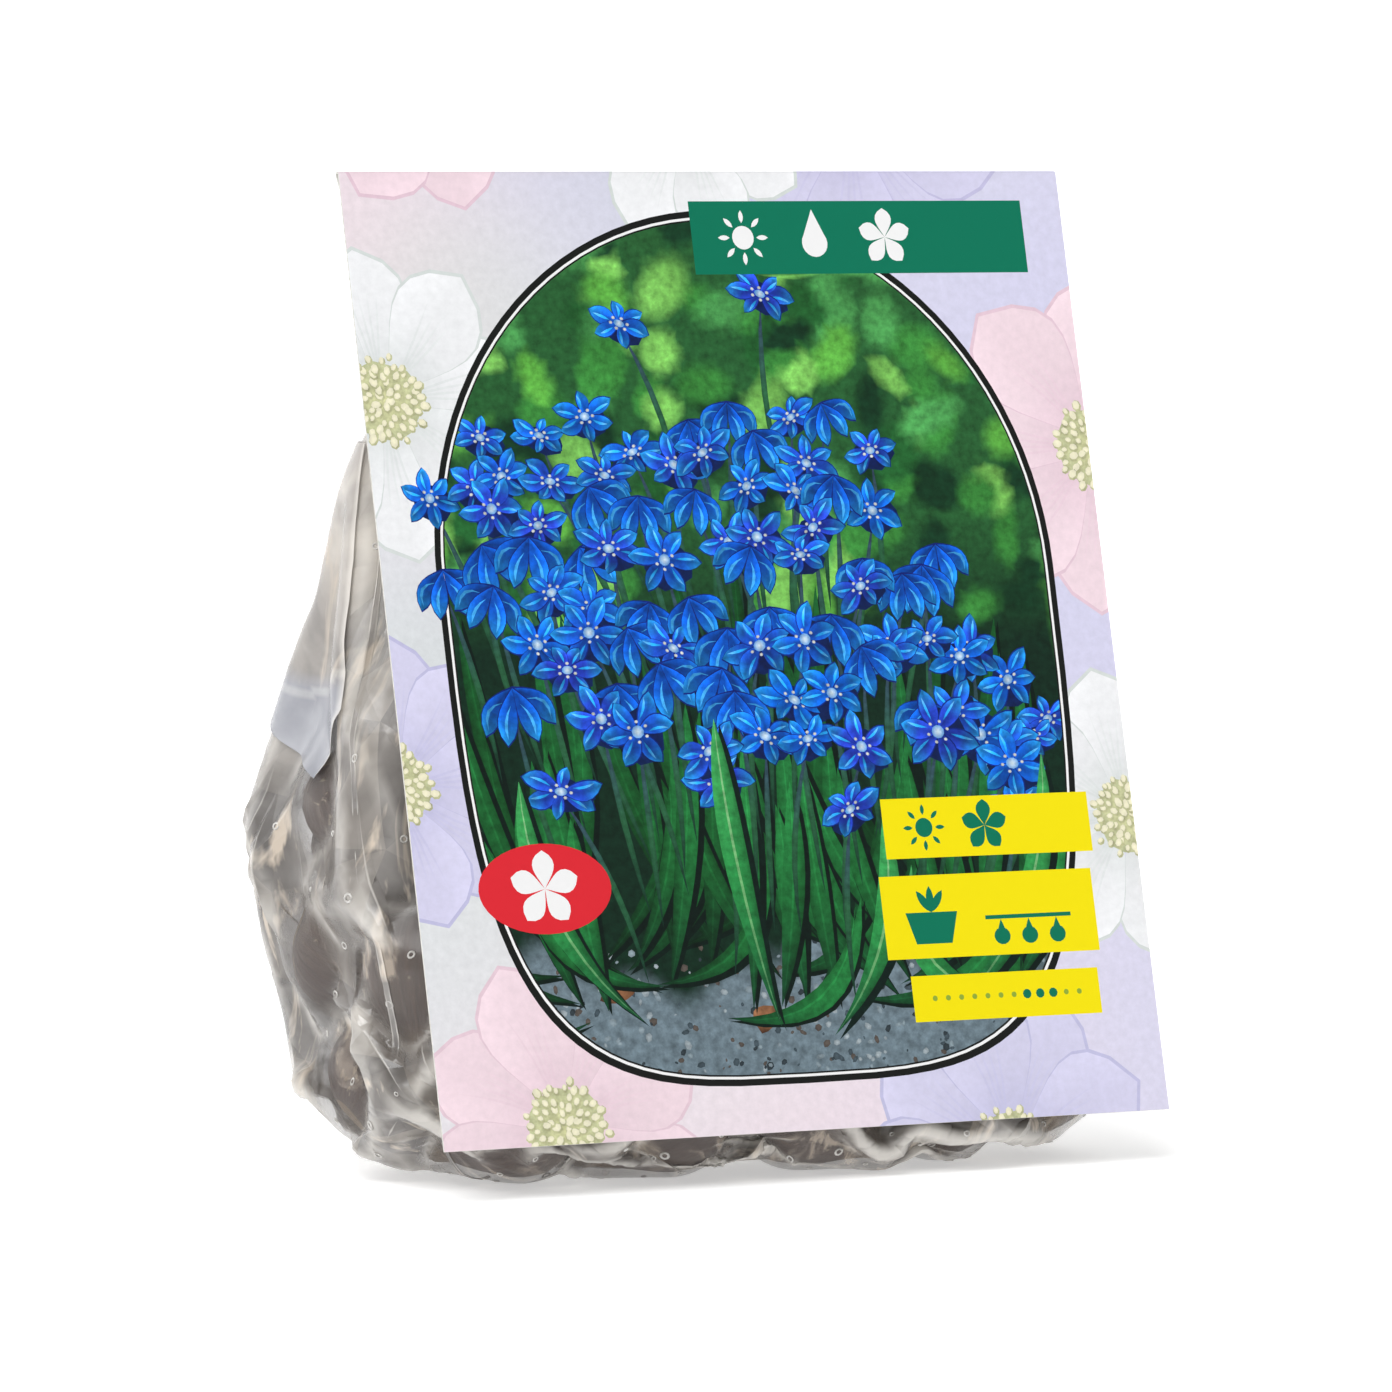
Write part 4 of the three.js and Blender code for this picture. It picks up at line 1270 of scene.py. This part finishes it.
# Flower stalks, then the flowers in rows from the back to the front.
flowers = []
for row in range(9):
    for step in range(13):
        x = -58 + 9.6 * step + 4.8 * (row % 2) + dice.uniform(-2.6, 2.6)
        mound = 128 - 0.011 * (x + 14) ** 2 + 7 * math.sin(x * 0.09)
        s = mound - row * 7.4 + dice.uniform(-3, 3)
        if s > 58 + 0.004 * (x - 20) ** 2 + dice.uniform(-8, 12) and abs(x) < 66:
            flowers.append((x, s, row))
flowers += [(-20, 141, 0), (8, 146, 0), (-41, 60, 9), (14, 55, 9), (47, 62, 9), (-12, 66, 8),
            (33, 68, 8)]
for x, s, row in flowers:
    foot = (x * 0.8 + dice.uniform(-5, 5), s - 34)
    stalk = (ink(18, 50, 40), ink(40, 92, 60), ink(52, 62, 96))
    lay_blade(foot, (x, s - 1), 1.15, stalk, dice.uniform(-2, 2), 0.5, 6, rib=0.3)
for x, s, row in flowers:
    framed = not (x > 50 and 70 < s < 112) and not (x < -52 and 90 < s < 118)
    reach = 6.1 + 0.14 * row + dice.uniform(-0.5, 0.8)
    if dice.random() < 0.42:
        lay_nodding(x, s + 3, reach * 1.15, dice.uniform(-0.5, 0.5), framed=framed)
    else:
        lay_star(x, s, reach, dice.uniform(-0.6, 0.6), dice.uniform(0.55, 1), framed=framed)
front_inks = (ink(16, 62, 40), ink(40, 132, 66), ink(60, 156, 84))
rib_inks = (ink(60, 120, 80), ink(120, 186, 120), ink(140, 200, 140))
for x, s, long, lean in ((-30, 20, 46, -0.42), (6, 16, 40, 0.36), (28, 18, 52, 0.5),
                         (-4, 18, 54, -0.12), (44, 22, 30, -0.7)):
    tip = (x + long * math.sin(lean), s + long * math.cos(lean))
    lay_blade((x + 0.8, s - 0.8), (tip[0] + 1, tip[1] - 1), 5.4, ink(8, 30, 24), -lean * 14,
              0.6, 10)
    lay_blade((x, s), tip, 4.8, front_inks, -lean * 14, 0.6, 12, rib=0.3, side=0.3)
    lay_blade((x, s), tip, 0.5, rib_inks, -lean * 13.4, 0.5, 10)

# Label panels in flat inks, with plain signs: sun, drop, flower, pot and bulbs in the soil.
green, yellow, red = ink(0, 122, 92), ink(255, 236, 0), ink(230, 42, 54)


def lay_panel(left, low, right, high, colour):
    lay([(left, low), (right, low), (right, high), (left, high)], colour, 0, False)


lay_panel(-4, 149.5, 62, 162.5, green)
lay_panel(20, 46, 61, 56.5, yellow)
lay_panel(18, 28.5, 60, 43, yellow)
lay_panel(22, 17.5, 59, 25.5, yellow)
flat = dict(texture=0, framed=False)
lay_disc((-46, 43.5), 25, 15.5, 0, red, red, 40, **flat)
for i in range(8):
    angle = math.pi * i / 4
    for spot, near, far, wide, tint in (((6, 156), 2.6, 4.9, 0.9, clear_white),
                                        ((28, 51.3), 2.2, 4.1, 0.8, green)):
        lay_blade(polar(spot, near, angle), polar(spot, far, angle), wide, tint, steps=4, **flat)
for spot, size, tint in (((6, 156), 4.2, clear_white), ((28, 51.3), 3.4, green),
                         ((20, 155), 5, clear_white)):
    lay_disc(spot, size, size, 0, tint, tint, 20, **flat)
lay([(17.9, 156.3), (22.1, 156.3), (20, 161)], clear_white, 0, False)
for i in range(5):
    angle = 0.3 + 2 * math.pi * i / 5
    for spot, size, tint in (((34, 156), 5.2, clear_white), ((-46, 43.5), 6.6, clear_white),
                             ((40, 51.3), 4.6, green)):
        lay_blade(spot, polar(spot, size, angle), size * 0.62, tint, fullest=0.62, steps=8, **flat)
lay([(24, 31), (31, 31), (32.6, 36.5), (22.4, 36.5)], green, 0, False)
for lean in (-0.6, 0, 0.6):
    tip = (27.5 + 4.5 * math.sin(lean), 36.5 + 4.6 * math.cos(lean))
    lay_blade((27.5, 36.5), tip, 1.5, green, **flat)
lay_panel(38, 34.8, 55, 35.5, green)
for x in (41, 46.5, 52):
    lay_disc((x, 31.8), 3.2, 3, 0, green, green, 14, **flat)
    lay([(x - 0.8, 32.8), (x + 0.8, 32.8), (x, 34.8)], green, 0, False)
for i in range(12):
    size, tint = (1.7, green) if i in (7, 8, 9) else (1.0, ink(150, 178, 60))
    lay_disc((26.3 + 2.6 * i, 21.5), size, size, 0, tint, tint, 10, **flat)

# The board is cut along every outline that shows, so hidden outlines under other shapes go first.
bend_steps = 10
bends = [fold_start + (fold_end - fold_start) * step / bend_steps for step in range(bend_steps + 1)]
for s in bends:
    lay_line([(-half_card - 5, s), (half_card + 5, s)], None)
all_points, all_edges, all_faces, kept_points, kept_edges, owners = delaunay_2d_cdt(
    [Vector(point) for point in sheet_points], sheet_lines, [shape[0] for shape in shapes],
    1, 1e-4, True)
loose = [not framed for _, _, _, framed in shapes]
tops = [max(owner) if picture in owner else max(i for i in owner if loose[i]) if 0 in owner else -1
        for owner in owners]
tops_beside = {}
for top, (a, b, c) in zip(tops, all_faces):
    for edge in ((a, b), (b, c), (c, a)):
        tops_beside.setdefault((min(edge), max(edge)), []).append(top)
shown_edges = []
for (a, b), lines in zip(all_edges, kept_edges):
    sides = tops_beside.get((min(a, b), max(a, b)), ())
    if max(sides, default=-1) >= 0 and (len(set(sides)) > 1 or any(
            line < len(sheet_lines) and line_shapes[line] in (None, sides[0]) for line in lines)):
        shown_edges.append((a, b))
lattice = {i for i, origin in enumerate(kept_points) if set(origin) & free_points}
used = sorted({i for edge in shown_edges for i in edge} | lattice)
renumbered = {old: new for new, old in enumerate(used)}
flat_points, _, flat_faces, _, _, _ = delaunay_2d_cdt(
    [all_points[i] for i in used], [(renumbered[a], renumbered[b]) for a, b in shown_edges],
    [], 0, 1e-4, False)

# Each small face takes its colour from the shape that shows there.
visible = [n for n, top in enumerate(tops) if top >= 0]
lookup = BVHTree.FromPolygons([Vector((*point, 0)) for point in all_points],
                              [all_faces[n] for n in visible])
flat_points = np.array([point[:] for point in flat_points])
corners = np.array(flat_faces)
middles = flat_points[corners].mean(1)
found = [lookup.find_nearest(Vector((x, s, 0)))[2] for x, s in middles]
shape_of = np.array([tops[visible[face]] for face in found])
order = np.argsort(shape_of, kind="stable")
corners, shape_of = corners[order], shape_of[order]
printed = np.ones((len(corners), 3, 4))
starts = np.flatnonzero(np.diff(shape_of, prepend=-1))
for start, stop in zip(starts, [*starts[1:], len(corners)]):
    _, colour, texture, _ = shapes[shape_of[start]]
    places = flat_points[corners[start:stop]].reshape(-1, 2)
    tint = colour(places) if callable(colour) else np.broadcast_to(colour, (len(places), 3))
    printed[start:stop, :, :3] = tint.reshape(-1, 3, 3)
    printed[start:stop, :, 3] = texture

# The plain side has the same rim, from its lower left corner on, and no other points: its faces
# run from one side to the other.
borders = {(a, b) for face in corners.tolist() for a, b in zip(face, face[1:] + face[:1])}
after = {a: b for a, b in borders if (b, a) not in borders}
rim = [min(after, key=lambda i: (round(flat_points[i, 1], 2), flat_points[i, 0]))]
while after[rim[-1]] != rim[0]:
    rim.append(after[rim[-1]])
rim_points = flat_points[rim]
upper_left = max(range(len(rim)), key=lambda n: (round(rim_points[n, 1], 2), -rim_points[n, 0]))
right, right_way = 0, list(range(1, upper_left + 1))
left, left_way = len(rim) - 1, list(range(len(rim) - 2, upper_left, -1))
plain_faces = []
while right_way or left_way:
    if not left_way or (right_way and rim_points[right_way[0], 1] <= rim_points[left_way[0], 1]):
        plain_faces.append((right, right_way[0], left))
        right = right_way.pop(0)
    else:
        plain_faces.append((right, left_way[0], left))
        left = left_way.pop(0)


def bend_sheet(flat, depth):
    """Where a point of the flat sheet comes to lie, depth being 0 on its printed side."""
    x, s = flat[:, 0], flat[:, 1]
    turn = np.clip((s - fold_start) / fold_radius, 0, math.pi)
    radius = fold_radius - depth
    height = np.minimum(s, fold_start) + radius * np.sin(turn) - np.maximum(s - fold_end, 0)
    deep = fold_radius - radius * np.cos(turn)
    return (np.array(card_foot) + MM * (np.outer(x, (1, 0, 0)) + np.outer(height, card_up)
                                        + np.outer(deep, card_back)))


front_points = bend_sheet(flat_points, 0)
back_points = bend_sheet(rim_points, board / MM)
shift = len(front_points)
faces = corners.tolist()
front_count = len(faces)
faces += [tuple(shift + n for n in reversed(face)) for face in plain_faces]
for n, i in enumerate(rim):
    faces.append((after[i], i, shift + n, shift + (n + 1) % len(rim)))
card = add_mesh("header_card_board", np.concatenate([front_points, back_points]), faces)

colours = np.ones((len(card.data.loops), 4))
colours[:front_count * 3] = printed.reshape(-1, 4)
paint = card.data.color_attributes.new("print", "FLOAT_COLOR", "CORNER")
paint.data.foreach_set("color", colours.ravel())
sheet_map = np.concatenate([flat_points, rim_points])
add_map(card, "sheet", sheet_map * MM)
sheet_map = (sheet_map + (half_card, 0)) / (2 * half_card, flap_end) * (0.84, 0.98) + 0.005
sheet_map[len(flat_points):, 0] = 0.87 + sheet_map[len(flat_points):, 0] * 0.14
add_map(card, "OFBake", sheet_map, len(rim), 0.853, 0.862)
sides = [0] * front_count + [1] * (len(faces) - front_count)
card.data.polygons.foreach_set("material_index", sides)
card.data.shade_smooth()
card.data.set_sharp_from_angle(angle=math.radians(40))

print_side = new_material("printed_card", Roughness=0.38, Specular_IOR_Level=0.2, Coat_Weight=0.08,
                          Coat_Roughness=0.2)
tree, place = open_nodes(print_side)
inked = add_node(tree, "Attribute", {}, attribute_name="print").outputs
grain = add_mottle(tree, place["UV"], 620.0, 5.0, (0.62, 0.62, 0.62), (1.35, 1.35, 1.35),
                   Roughness=0.62, Lowest=0.3, Highest=0.7)
grain = add_mix(tree, inked["Alpha"], (1.0, 1.0, 1.0), grain)
shown = add_mix(tree, 1.0, inked["Color"], grain, "MULTIPLY")
fibre = add_noise(tree, place["UV"], 900.0, 2.0)
set_shader(print_side, Base_Color=shown, Normal=add_bump(tree, fibre, 0.04, 0.0002))

plain_side = new_material("bare_board", Roughness=0.85)
tree, place = open_nodes(plain_side)
pulp = add_mottle(tree, place["Object"], 700.0, 6.0, (0.56, 0.55, 0.51), (0.72, 0.71, 0.68),
                  Distortion=1.2)
set_shader(plain_side, Base_Color=pulp)
card.data.materials.append(print_side)
card.data.materials.append(plain_side)
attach(card, "root")
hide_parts("header_card")
